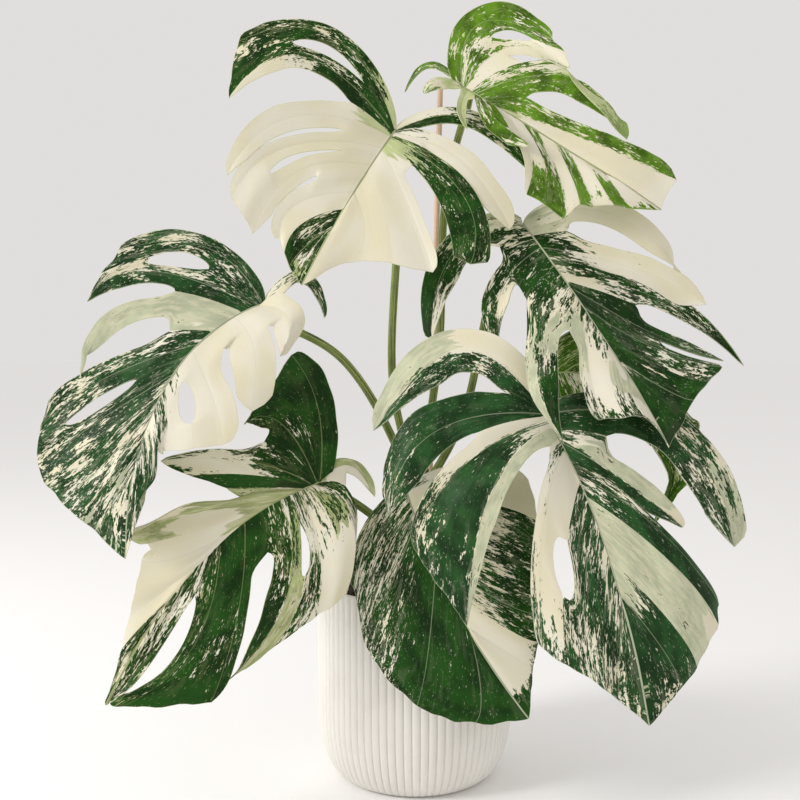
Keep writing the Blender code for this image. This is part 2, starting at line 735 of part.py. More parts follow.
def add_stalk(name, leaf, sheet, look, crown, stem_clearance):
    """A leaf's stalk, from the stem to just behind the blade, seated on it with a clearance."""
    blade = BVHTree.FromPolygons(sheet.points, sheet.faces)
    place = MM * Vector(leaf.at)
    seat = BLADE_THICKNESS / 2 + STALK_SEAT
    lift = seat + STALK_TIP_RADIUS
    for _ in range(SEATING_STEPS):
        rings = stalk_rings(name, leaf, lift)
        gap = min(blade.find_nearest(point - place)[3] for ring in rings for point in ring)
        lift += seat - gap
    rings = stalk_rings(name, leaf, lift)
    obj = add_object(name.replace("leaf", "stalk"), *ring_solid(rings), look, parent=crown)
    cut(obj, stem_clearance)
    return obj


def main():
    clear_scene()
    crown = bpy.data.objects.new("crown", None)
    bpy.context.scene.collection.objects.link(crown)
    crown.location = (0, 0, soil_level())

    add_pot(material("white_ceramic", CERAMIC_COLOUR, CERAMIC_ROUGHNESS))
    soil = add_soil(material("dark_soil", SOIL_COLOUR, SOIL_ROUGHNESS))

    stem_place, stake_place = (*STEM_PLACE, 0), (*STAKE_PLACE, 0)
    stem_look = material("stem_bark", STEM_COLOUR, WOOD_ROUGHNESS)
    add_object("main_stem", *ring_solid(stem_rings()), stem_look, stem_place, crown)
    stem_cutter = add_object(
        "stem_clearance", *ring_solid(stem_rings(CLEARANCE, CLEARANCE)), None, stem_place, crown
    )
    stake_look = material("stake_wood", STAKE_COLOUR, WOOD_ROUGHNESS)
    add_object("support_stake", *ring_solid(stake_rings()), stake_look, stake_place, crown)
    stake_cutter = add_object(
        "stake_clearance", *ring_solid(stake_rings(CLEARANCE, CLEARANCE)), None,
        stake_place, crown,
    )
    for cutter in (stem_cutter, stake_cutter):
        hide_cutter(cutter)
        cut(soil, cutter)

    stalk_look = material("leaf_stalk", STALK_COLOUR, STALK_ROUGHNESS)
    for name, leaf in LEAVES.items():
        look = material(name + "_blade", COLOURS[name], LEAF_ROUGHNESS)
        sheet = leaf_sheet(leaf)
        add_leaf(name, leaf, sheet, look, crown)
        add_stalk(name, leaf, sheet, stalk_look, crown, stem_cutter)


main()
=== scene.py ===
"""Looks of the potted variegated monstera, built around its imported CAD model."""

import math
from collections import namedtuple

import bpy
import numpy as np
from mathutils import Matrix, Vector, noise
from mathutils.bvhtree import BVHTree


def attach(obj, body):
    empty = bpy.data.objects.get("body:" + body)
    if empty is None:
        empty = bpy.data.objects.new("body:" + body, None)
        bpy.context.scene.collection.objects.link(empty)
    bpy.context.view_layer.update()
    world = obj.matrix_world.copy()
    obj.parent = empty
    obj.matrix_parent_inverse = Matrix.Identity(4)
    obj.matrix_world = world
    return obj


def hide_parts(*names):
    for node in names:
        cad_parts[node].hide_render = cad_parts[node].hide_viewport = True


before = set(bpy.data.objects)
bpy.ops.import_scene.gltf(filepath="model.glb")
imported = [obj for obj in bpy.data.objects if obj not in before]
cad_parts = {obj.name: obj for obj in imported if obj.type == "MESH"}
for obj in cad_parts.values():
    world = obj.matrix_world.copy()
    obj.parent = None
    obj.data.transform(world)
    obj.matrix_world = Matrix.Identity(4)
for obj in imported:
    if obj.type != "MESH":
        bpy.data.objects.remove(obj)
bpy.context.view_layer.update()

MM = 0.001

# ---------------------------------------------------------------- sizes shared with the CAD
POT_RADIUS = 0.105
POT_HEIGHT = 0.207
POT_WALL = 0.006
FOOT_RADIUS = 0.076
FOOT_CURVE_HEIGHT = 0.075
RIB_COUNT = 78
SOIL_BELOW_RIM = 0.014
SOIL_CROWN = 0.005
STEM_RADIUS = 0.012
STEM_TOP_RADIUS = 0.0085
STEM_PLACE = (-0.004, 0.012)
STEM_ABOVE_SOIL = 0.135
STEM_IN_SOIL = 0.010
STEM_LEAN = 0.012
STAKE_RADIUS = 0.0032
STAKE_PLACE = (0.014, 0.034)
STAKE_ABOVE_SOIL = 0.555
STAKE_LEAN = 0.014
STALK_BASE_RADIUS = 0.0045
STALK_TIP_RADIUS = 0.0038
STALK_MEETS = 0.06
CROWN = np.array((0, 0, POT_HEIGHT - SOIL_BELOW_RIM))
FRONT_OF_POT = -POT_RADIUS / MM
WHOLE = 1.0

# For each leaf: where its stalk meets it (mm from the middle of the soil), the middle and
# the end of its midrib (mm from there), its colours, and the lobes of its two sides in order.
# For each lobe: where its vein leaves the midrib (share), the middle and the end of the vein,
# its width in mm, its paint, where the gap to the next lobe opens (WHOLE where they are
# joined, two shares for a closed hole) and how much of its end is cut round. The paint has a
# letter, one of the tones below, for each place along the vein, on its side towards the stalk
# and, after the stroke, towards the tip. Without a stroke both sides are alike.
Leaf = namedtuple("Leaf", "at belly tip dark milk left right")
Lobe = namedtuple("Lobe", "root belly tip width paint split cut", defaults=(WHOLE, 0.3))

# Share of green and share of milky tone for each letter of a lobe's paint.
TONES = {
    "D": (1.0, 0.0), "d": (0.76, 0.5), "M": (0.60, 0.35), "m": (0.5, 1.0),
    "s": (0.34, 0.15), "c": (0.14, 0.1), "C": (0.0, 0.0), "g": (0.06, 1.0),
}

DEEP_GREEN = (0.009, 0.045, 0.004)
BLUE_GREEN = (0.013, 0.052, 0.012)
BRIGHT_GREEN = (0.075, 0.165, 0.008)
LEAF_GREEN = (0.040, 0.110, 0.004)
GREY_GREEN = (0.450, 0.480, 0.330)
OLIVE = (0.330, 0.370, 0.160)
LIME = (0.440, 0.500, 0.240)
CREAM = (0.690, 0.640, 0.470)
WHITE_CREAM = (0.725, 0.690, 0.575)
STALK_TONES = ((0.110, 0.165, 0.022), (0.200, 0.265, 0.050))
STALK_PALE_STRIPE = (0.42, 0.44, 0.17)
STALK_DARK_STRIPE = (0.030, 0.060, 0.010)
STEM_TONES = ((0.060, 0.075, 0.022), (0.130, 0.120, 0.050))
STEM_RING = (0.210, 0.160, 0.090)
WOOD_TONES = ((0.640, 0.430, 0.300), (0.760, 0.560, 0.420))
WOOD_GRAIN = (0.430, 0.260, 0.160)
CERAMIC_TONES = ((0.760, 0.730, 0.680), (0.810, 0.785, 0.740))
CERAMIC_SPECK = (0.60, 0.57, 0.52)
SOIL_TONES = ((0.018, 0.012, 0.008), (0.060, 0.040, 0.026))
SOIL_GRIT = (0.140, 0.100, 0.065)
FLOOR_WHITE = (0.992, 0.990, 0.988)

LEAVES = {}
LEAVES["leaf_upper_left"] = Leaf(
    at=(-20, -60, 480), belly=(-45, -35, -75), tip=(-90, -60, -160),
    dark=DEEP_GREEN, milk=LIME,
    left=[
        Lobe(0.01, (-60, -10, 85), (-155, -20, 80), 20, "gdMd/DddM", (0.22, 0.66), 0.25),
        Lobe(0.03, (-90, -20, 65), (-160, -40, 20), 26, "DMdD/dDCC", 0.22, 0.35),
        Lobe(0.06, (-100, -30, 5), (-160, -50, -55), 30, "gCCC/CCCC", 0.2),
        Lobe(0.14, (-105, -35, -25), (-155, -55, -75), 20, "C", (0.2, 0.68), 0.2),
        Lobe(0.27, (-95, -40, -50), (-135, -60, -110), 24, "C", 0.32, 0.2),
        Lobe(0.45, (-95, -45, -80), (-110, -55, -115), 25, "C", WHOLE, 0.4),
        Lobe(0.66, (-85, -50, -120), (-100, -60, -140), 15, "dMdD/MdMm"),
    ],
    right=[
        Lobe(0.01, (75, 0, 10), (135, -20, -50), 22, "CsdD/dDMD", 0.14),
        Lobe(0.03, (65, -20, -35), (110, -40, -105), 28, "MCCC/CCCC", 0.2, 0.2),
        Lobe(0.06, (65, -35, -70), (70, -70, -140), 62, "mdDd/gdDd", 0.24, 0.12),
        Lobe(0.16, (10, -35, -75), (35, -50, -145), 18, "gCCC/CCCC", WHOLE, 0.12),
        Lobe(0.45, (-30, -45, -105), (-40, -50, -135), 29, "C", WHOLE, 0.2),
    ],
)
LEAVES["leaf_top"] = Leaf(
    at=(45, -35, 530), belly=(90, -40, -65), tip=(190, -65, -135),
    dark=BRIGHT_GREEN, milk=LIME,
    left=[
        Lobe(0.01, (-30, 20, 25), (-55, 10, -5), 14, "dddD", 0.1, 0.5),
        Lobe(0.02, (-20, -10, 0), (-35, -25, -15), 21, "MgsM", 0.15, 0.5),
        Lobe(0.05, (0, -25, -30), (5, -45, -55), 11, "g", 0.2, 0.5),
        Lobe(0.12, (35, -45, -45), (65, -65, -75), 32, "dMDM/mDDM", 0.35, 0.4),
        Lobe(0.26, (65, -55, -85), (60, -65, -120), 16, "CCCC/CCdd"),
        Lobe(0.42, (95, -60, -110), (95, -75, -145), 15, "dMdd/CCCM", 0.8),
        Lobe(0.58, (120, -60, -115), (125, -75, -135), 15, "MddM/CCsC"),
        Lobe(0.74, (150, -65, -120), (160, -70, -135), 15, "Cddd/CCCd"),
    ],
    right=[
        Lobe(0.01, (20, -5, 60), (90, -30, 35), 35, "dddd/sMdM", (0.46, 0.8)),
        Lobe(0.03, (50, -10, 35), (105, -45, 5), 20, "MMsC/sCCs", 0.38),
        Lobe(0.09, (110, -25, 0), (160, -50, -65), 40, "MMgd/dddD", 0.22, 0.4),
        Lobe(0.2, (120, -45, -65), (205, -60, -105), 32, "dMdd/gCCC", WHOLE, 0.1),
    ],
)
LEAVES["leaf_right"] = Leaf(
    at=(105, -75, 385), belly=(60, -65, -100), tip=(115, -120, -210),
    dark=DEEP_GREEN, milk=GREY_GREEN,
    left=[
        Lobe(0.01, (-65, 15, -25), (-90, 0, -115), 36, "MgDD/MMdC", 0.25, 0.35),
        Lobe(0.13, (-20, -10, -65), (-25, -30, -120), 33, "ddMM/dMCD", 0.33, 0.4),
        Lobe(0.32, (5, -90, -135), (20, -135, -205), 34, "dMgg/MgDD", 0.24, 0.35),
        Lobe(0.46, (50, -95, -145), (60, -115, -185), 18, "MgsM/MCCM", WHOLE, 0.15),
        Lobe(0.72, (85, -110, -165), (95, -120, -185), 18, "CgMd/ggCM", WHOLE, 0.2),
    ],
    right=[
        Lobe(0.01, (85, 0, 10), (155, -12, -55), 30, "gCCC", 0.2, 0.25),
        Lobe(0.13, (105, -15, -45), (175, -25, -80), 32, "DcCC/dCCC", 0.2, 0.2),
        Lobe(0.27, (140, -15, -80), (210, -30, -140), 26, "dMMD/CMMD", 0.36, 0.5),
        Lobe(0.33, (120, -45, -110), (180, -60, -135), 18, "dDdM/Dddd", 0.5),
        Lobe(0.42, (120, -65, -125), (175, -75, -140), 13, "DddM/DdMd", WHOLE, 0.1),
        Lobe(0.66, (120, -90, -160), (145, -95, -170), 13, "DdDD/MDDD", WHOLE, 0.2),
    ],
)
LEAVES["leaf_lower_right"] = Leaf(
    at=(115, -150, 205), belly=(50, -40, -115), tip=(85, -70, -270),
    dark=BLUE_GREEN, milk=GREY_GREEN,
    left=[
        Lobe(0.01, (-75, 20, 55), (-155, 10, -20), 46, "CCgg/DMdd", 0.18, 0.35),
        Lobe(0.02, (-100, -10, -20), (-140, -15, -95), 58, "DDdM/DDDM", 0.3, 0.4),
        Lobe(0.04, (-80, -20, -55), (-115, -20, -130), 25, "CCMM/sDDM"),
        Lobe(0.08, (-50, -40, -70), (-70, -35, -190), 26, "CDDd/gggm", 0.1, 0.4),
        Lobe(0.17, (-5, -50, -100), (-5, -50, -210), 17, "MCsM/CCCM", (0.38, 0.66), 0.2),
        Lobe(0.42, (30, -55, -165), (35, -60, -230), 26, "dMMM/MdMM", WHOLE, 0.2),
        Lobe(0.68, (60, -60, -225), (60, -65, -250), 17, "M", WHOLE, 0.2),
    ],
    right=[
        Lobe(0.02, (115, -10, -20), (175, -15, -125), 42, "DdMg/DDdM", 0.25, 0.14),
        Lobe(0.14, (75, -30, -65), (125, -25, -105), 27, "MggC/DDDd", 0.36, 0.5),
        Lobe(0.27, (100, -40, -105), (155, -30, -175), 14, "dMDD/MDDD", WHOLE, 0.1),
        Lobe(0.42, (110, -50, -155), (145, -40, -205), 17, "gggC/gggg", WHOLE, 0.1),
        Lobe(0.66, (105, -55, -215), (115, -55, -245), 17, "gDDd/dDdM", WHOLE, 0.2),
    ],
)
LEAVES["leaf_left"] = Leaf(
    at=(-145, -110, 305), belly=(-85, -55, -80), tip=(-115, -80, -230),
    dark=BLUE_GREEN, milk=GREY_GREEN,
    left=[
        Lobe(0.01, (-60, 10, 55), (-140, 0, 50), 24, "ddMM/MdMd", (0.3, 0.66)),
        Lobe(0.04, (-110, -5, 30), (-165, -20, 0), 26, "MMsM/dDdD", 0.3),
        Lobe(0.14, (-125, -20, -10), (-165, -40, -70), 22, "g", 0.22),
        Lobe(0.3, (-140, -40, -70), (-200, -50, -115), 34, "dMMM/dDMM", (0.28, 0.76), 0.15),
        Lobe(0.44, (-145, -55, -110), (-200, -55, -150), 20, "ddMM/dMMM", WHOLE, 0.1),
        Lobe(0.58, (-140, -65, -150), (-175, -65, -180), 20, "M", WHOLE, 0.1),
        Lobe(0.76, (-130, -75, -185), (-140, -75, -210), 19, "MmMm/MMMm", WHOLE, 0.1),
    ],
    right=[
        Lobe(0.01, (35, 10, 25), (55, 5, -15), 16, "CMMd/CMdM", 0.3, 0.4),
        Lobe(0.03, (25, -25, -15), (20, -40, -50), 34, "C", 0.4, 0.35),
        Lobe(0.13, (-5, -40, -45), (-5, -55, -100), 50, "C", 0.22, 0.2),
        Lobe(0.33, (-40, -55, -90), (-30, -65, -130), 36, "C", (0.14, 0.62), 0.25),
        Lobe(0.5, (-80, -65, -115), (-85, -70, -135), 21, "sCCC/MMCC", 0.5),
        Lobe(0.66, (-95, -75, -150), (-100, -80, -180), 18, "CMdD/MMdM"),
    ],
)
LEAVES["leaf_lower_left"] = Leaf(
    at=(-90, FRONT_OF_POT - 20, 135), belly=(-105, -25, -65), tip=(-195, -40, -200),
    dark=DEEP_GREEN, milk=OLIVE,
    left=[
        Lobe(0.01, (-5, 15, 70), (-30, 10, 120), 34, "D"),
        Lobe(0.02, (-40, 10, 55), (-75, 5, 55), 23, "DdDD/DDdd", 0.5),
        Lobe(0.04, (-70, -5, 20), (-150, -5, 20), 21, "DdsM/DMCM", WHOLE, 0.5),
        Lobe(0.08, (-55, -5, -5), (-90, -10, -5), 19, "D/g", 0.45),
        Lobe(0.17, (-135, -15, -30), (-185, -25, -45), 46, "ggCC/gCgg", 0.8),
        Lobe(0.34, (-125, -25, -65), (-165, -25, -70), 22, "gCCC/CCCC", WHOLE, 0.2),
        Lobe(0.54, (-155, -30, -105), (-175, -30, -120), 18, "C", WHOLE, 0.2),
        Lobe(0.74, (-175, -35, -155), (-190, -35, -180), 11, "CMMM/MMsM", WHOLE, 0.2),
    ],
    right=[
        Lobe(0.01, (25, 10, 15), (50, 5, -15), 15, "gggg/gCCg", 0.4, 0.4),
        Lobe(0.03, (30, -15, -35), (25, -15, -105), 32, "dMCC/MmCC"),
        Lobe(0.09, (0, -20, -70), (-5, -20, -125), 24, "MsCC/MsMM", (0.18, 0.5)),
        Lobe(0.18, (-30, -30, -100), (-85, -30, -180), 38, "Mmgg/dMDd", 0.24, 0.5),
        Lobe(0.33, (-75, -35, -115), (-100, -40, -200), 18, "DDdD", WHOLE, 0.15),
        Lobe(0.44, (-115, -40, -145), (-180, -45, -200), 22, "DDdD/dddd", (0.2, 0.9), 0.2),
        Lobe(0.56, (-160, -35, -155), (-190, -40, -195), 9, "M", WHOLE, 0.2),
    ],
)
LEAVES["leaf_lower_center"] = Leaf(
    at=(-10, FRONT_OF_POT - 5, 125), belly=(45, -25, -105), tip=(115, -40, -210),
    dark=DEEP_GREEN, milk=GREY_GREEN,
    left=[
        Lobe(0.01, (-30, 0, -35), (-50, -5, -95), 21, "M"),
        Lobe(0.14, (-20, -15, -105), (-35, -15, -155), 19, "MMMM/DdMM"),
        Lobe(0.34, (20, -25, -155), (10, -30, -200), 19, "DDDd/DDDD"),
        Lobe(0.62, (70, -35, -185), (65, -40, -215), 18, "D"),
    ],
    right=[
        Lobe(0.01, (60, 5, 15), (120, 0, 5), 23, "MCCC/CCCC"),
        Lobe(0.1, (90, -10, -40), (135, -10, -65), 19, "CCdM/MMdd"),
        Lobe(0.3, (95, -25, -105), (130, -20, -115), 19, "CMdd"),
        Lobe(0.6, (105, -35, -155), (120, -35, -165), 18, "CCCd/CCCD"),
    ],
)
LEAVES["leaf_back_right"] = Leaf(
    at=(125, -60, 235), belly=(85, -30, -15), tip=(140, -40, -105),
    dark=LEAF_GREEN, milk=LIME,
    left=[
        Lobe(0.01, (10, -5, -30), (20, -20, -60), 20, "dMsM/MdMs"),
        Lobe(0.12, (40, -20, -35), (50, -30, -60), 20, "MddM/sMMd", 0.6),
        Lobe(0.36, (80, -30, -40), (95, -35, -55), 18, "MMMd/MMss", 0.6),
        Lobe(0.64, (130, -35, -85), (105, -45, -145), 11, "dmdm/mdmd"),
    ],
    right=[
        Lobe(0.01, (20, 0, 25), (60, -5, 45), 22, "dmmd/mmdm", 0.75),
        Lobe(0.12, (70, -10, 25), (105, -25, 30), 22, "dmgm/mdgd", 0.6),
        Lobe(0.36, (115, -25, 0), (140, -40, -5), 20, "MdMd/MsMd", 0.6),
        Lobe(0.64, (135, -35, -45), (150, -40, -55), 16, "MdMM/MMMd", WHOLE, 0.2),
    ],
)

# For each stalk: its height on the stem and the points that it passes, in mm from the soil.
STALKS = {
    "leaf_top": (122, [(26, 8, 260), (32, -2, 420)]),
    "leaf_upper_left": (106, [(-24, -6, 230), (-18, -22, 400)]),
    "leaf_right": (92, [(52, -4, 190), (80, -30, 320)]),
    "leaf_left": (78, [(-20, -34, 160), (-75, -70, 252)]),
    "leaf_back_right": (66, [(50, -8, 130), (105, -25, 200)]),
    "leaf_lower_right": (54, [(45, -50, 110), (90, -105, 170)]),
    "leaf_lower_left": (40, [(-40, -40, 85), (-80, -85, 120)]),
    "leaf_lower_center": (22, [(-4, -40, 78), (-8, -80, 115)]),
}

# ---------------------------------------------------------------- leaf blades
ROWS = 44
ACROSS = 7
MIDRIB_STEPS = 90
SHOWN_THICKNESS = 0.0009
UNDULATION = 0.0022
UNDULATION_SCALE = 16
UNDULATION_AT_ROOT = 0.6
UNDULATION_GROWTH = 1.4
MARGIN_WAVE = 0.0030
MARGIN_WAVE_SCALE = 62
MARGIN_WAVE_POWER = 6
QUILT_HEIGHT = 0.0020
VEIN_DEPTH = 0.00045
VEIN_HALF_WIDTH = 0.0011
MIDRIB_DEPTH = 0.0008
MIDRIB_HALF_WIDTH = 0.0016
EDGE_WAVER = 0.14
MARGIN_EASE = 0.6
ROUND_TAPER = (1.4, 0.9)
WIDEST_AT = 0.55
PAINT_BLEND = 3
NARROW_SHARE = 0.82
FULL_WIDTH_AT = 0.7
ROOT_OPENING = 0.16
OPEN_ENOUGH = 0.02
MERGE_DISTANCE = 1e-7
BLADE_SHARP_ANGLE = math.radians(55)
LEFT_SEED = 1.0
RIGHT_SEED = 7.0
SINUS_OPENING = 0.09
LEAST_HALF_GAP = 0.0012
SEAM_SHARE = 0.92
HOLE_SHARE = 0.62
ONWARD_SHARE = 0.2
# Columns of the values that each corner of a blade's mesh carries.
(
    LIES_ACROSS, LIES_ALONG, SEED, GREEN, MILK, OPENING, FROM_VEIN, FROM_MIDRIB, FROM_EDGE,
    COLUMN, SHARE,
) = range(11)


def through(start, middle, end, share):
    share = np.asarray(share)[:, None]
    bend = 2 * middle - (start + end) / 2
    return start * (1 - share) ** 2 + bend * (2 * share * (1 - share)) + end * share ** 2


def unit(vectors):
    length = np.linalg.norm(vectors, axis=-1, keepdims=True)
    return vectors / np.maximum(length, 1e-9)


def smooth_step(share):
    share = np.clip(share, 0, 1)
    return share * share * (3 - 2 * share)


def round_open(share):
    """From 0 to 1 as a quarter circle, which rounds the end of a gap."""
    share = np.clip(share, 0, 1)
    return np.sqrt(share * (2 - share))


def catmull_rom(p0, p1, p2, p3, t):
    """Point at a share t of the way from p1 to p2, on the smooth curve through four points."""
    return 0.5 * (
        2 * p1 + (p2 - p0) * t + (2 * p0 - 5 * p1 + 4 * p2 - p3) * t ** 2
        + (3 * p1 - p0 - 3 * p2 + p3) * t ** 3
    )


class Half:
    """One side of a blade: for each lobe, a grid of points along its vein and across it."""

    def __init__(self, leaf, lobes, seed=0.0):
        self.leaf = leaf
        self.seed = seed
        self.lobes = lobes
        self.share = np.linspace(0, 1, ROWS + 1)
        self.tip = np.array(leaf.tip) * MM
        self.belly = np.array(leaf.belly) * MM
        roots = self.midrib([lobe.root for lobe in lobes])
        self.veins = [
            through(root, np.array(lobe.belly) * MM, np.array(lobe.tip) * MM, self.share)
            for root, lobe in zip(roots, lobes)
        ]
        self.tips = [vein[-1] for vein in self.veins] + [self.tip]
        self.seams = [self.seam(index) for index in range(len(lobes) - 1)]

    def midrib(self, shares):
        return through(np.zeros(3), self.belly, self.tip, np.asarray(shares))

    def joined(self, boundary):
        return boundary < 0 or boundary >= len(self.lobes) - 1 or (
            self.lobes[boundary].split == WHOLE or isinstance(self.lobes[boundary].split, tuple)
        )

    def margin(self, boundary, share):
        """Point of the blade's outer edge between two joined lobes, on a smooth curve."""
        tips = self.tips
        p1, p2 = tips[boundary], tips[boundary + 1]
        before = boundary - 1
        if before >= 0 and self.joined(before):
            p0 = tips[before]
        else:
            beyond = tips[min(boundary + 2, len(tips) - 1)]
            p0 = p1 - (p2 - p1) * MARGIN_EASE - (beyond - p2) * (1 - MARGIN_EASE)
        after = boundary + 1
        if after < len(tips) - 1 and self.joined(after):
            p3 = tips[after + 1]
        else:
            p3 = p2 + (p2 - p1) * MARGIN_EASE
        return catmull_rom(p0, p1, p2, p3, np.asarray(share)[:, None])

    def margin_offset(self, boundary, across):
        """How far the smooth outer edge lies from the straight line between two tips."""
        across = np.asarray(across)
        start, end = self.tips[boundary:boundary + 2]
        line = start + (end - start) * across[:, None]
        return self.margin(boundary, across) - line

    def seam(self, index):
        near, far = self.veins[index], self.veins[index + 1]
        middle = (near + far) / 2
        shares = (self.lobes[index].root + self.lobes[index + 1].root) / 2
        middle[0] = self.midrib([shares])[0]
        return middle

    def gap(self, boundary):
        """Opening of the gap at each row, 0 where the lobes are joined."""
        split = self.lobes[boundary].split
        if split == WHOLE:
            return np.zeros(ROWS + 1), False
        if isinstance(split, tuple):
            place = (self.share - split[0]) / (split[1] - split[0])
            inside = (place > 0) & (place < 1)
            opening = np.sqrt(np.clip(1 - (2 * place - 1) ** 2, 0, 1)) * inside
            return opening, True
        return round_open((self.share - split) / SINUS_OPENING), False

    def taper(self, index, towards_tip):
        lobe = self.lobes[index]
        past = np.clip((self.share - (1 - lobe.cut)) / lobe.cut, 0, 1)
        if towards_tip:
            return (1 - past ** ROUND_TAPER[0]) ** ROUND_TAPER[1]
        return np.sqrt(1 - past ** 2)

    def waver(self, index, side):
        """A free edge is a little uneven, and each in its own way."""
        start = self.leaf.at[0] + 7.3 * index + 3.1 * side
        waves = [noise.noise(Vector((start, 5.0 * share, self.seed))) for share in self.share]
        return 1 + EDGE_WAVER * np.array(waves)

    def edge(self, index, side):
        """Edge points of a lobe, and how open the gap beside it is at each row."""
        last = len(self.lobes) - 1
        vein = self.veins[index]
        lobe = self.lobes[index]
        if side > 0 and index == last:
            return self.midrib(lobe.root + (1 - lobe.root) * self.share), np.zeros(ROWS + 1)
        full = smooth_step(self.share / FULL_WIDTH_AT)
        widths = lobe.width / 2 * MM * (NARROW_SHARE + (1 - NARROW_SHARE) * full)
        widths = widths * self.taper(index, side > 0) * self.waver(index, side)
        if side < 0 and index == 0:
            along = unit(np.gradient(vein, axis=0))
            away = vein - self.veins[min(1, last)]
            away[0] = away[1]
            away = away - along * np.sum(away * along, axis=1, keepdims=True)
            opening = round_open(self.share / ROOT_OPENING)
            points = vein + unit(away) * (widths * opening)[:, None]
            points[0] = self.midrib([0])[0]
            return points, opening
        boundary = index if side > 0 else index - 1
        seam = self.seams[boundary].copy()
        opening, is_hole = self.gap(boundary)
        if self.joined(boundary):
            half_line = self.margin_offset(boundary, [0.5])[0]
            seam = seam + half_line * (self.share ** 3)[:, None]
        to_seam = seam - vein
        along = unit(np.gradient(vein, axis=0))
        onward = along * np.sum(to_seam * along, axis=1, keepdims=True)
        beside = to_seam - onward
        distance = (np.linalg.norm(to_seam, axis=1) + np.linalg.norm(beside, axis=1)) / 2
        if is_hole:
            widths = np.maximum(widths, distance * HOLE_SHARE)
            onward_share = 1.0
        else:
            onward_share = ONWARD_SHARE
        most = np.maximum(np.minimum(SEAM_SHARE * distance, distance - LEAST_HALF_GAP), 0)
        reach = np.minimum(widths, most)
        free = vein + unit(beside + onward * onward_share) * reach[:, None]
        return seam + (free - seam) * opening[:, None], opening


def paint_values(text, share):
    """Green and milky shares along a lobe, from its letters."""
    places = np.linspace(0, 1, len(text))
    green = np.interp(share, places, [TONES[letter][0] for letter in text])
    milk = np.interp(share, places, [TONES[letter][1] for letter in text])
    return green, milk


class Mesh:
    """Points that may be shared, and triangles whose corners carry their own values."""

    def __init__(self):
        self.places = []
        self.values = []
        self.faces = []
        self.count = 0

    def add(self, places, values):
        """Adds a grid of points and returns its grid of numbers."""
        shape = places.shape[:-1]
        numbers = np.arange(self.count, self.count + int(np.prod(shape))).reshape(shape)
        self.places.append(places.reshape(-1, 3))
        self.values.append(values.reshape(-1, values.shape[-1]))
        self.count += numbers.size
        return numbers

    def grid(self, numbers, flip):
        a, b = numbers[:-1, :-1].ravel(), numbers[:-1, 1:].ravel()
        c, d = numbers[1:, 1:].ravel(), numbers[1:, :-1].ravel()
        faces = np.concatenate([np.stack([a, b, c], 1), np.stack([a, c, d], 1)])
        self.faces.append(faces[:, ::-1] if flip else faces)

    def zip_rows(self, near, far, flip):
        """Joins two rows of (share, number), in order of share."""
        i = j = 0
        faces = []
        while i < len(near) - 1 or j < len(far) - 1:
            take_near = j == len(far) - 1 or (
                i < len(near) - 1 and near[i + 1][0] <= far[j + 1][0]
            )
            if take_near:
                faces.append((near[i][1], near[i + 1][1], far[j][1]))
                i += 1
            else:
                faces.append((near[i][1], far[j + 1][1], far[j][1]))
                j += 1
        faces = np.array(faces)
        self.faces.append(faces[:, ::-1] if flip else faces)


def vein_relief(across, from_vein, from_midrib, share, opening):
    """Height of the blade's surface: sunken veins with soft quilting between them."""
    quilt = QUILT_HEIGHT * (1 - np.cos(np.pi * np.abs(across))) / 2 * smooth_step(share * 5)
    groove = VEIN_DEPTH * np.exp(-(from_vein / VEIN_HALF_WIDTH) ** 2) * (1 - 0.7 * share)
    midrib = MIDRIB_DEPTH * np.exp(-(from_midrib / MIDRIB_HALF_WIDTH) ** 2)
    return quilt * (1 - opening) - groove - midrib


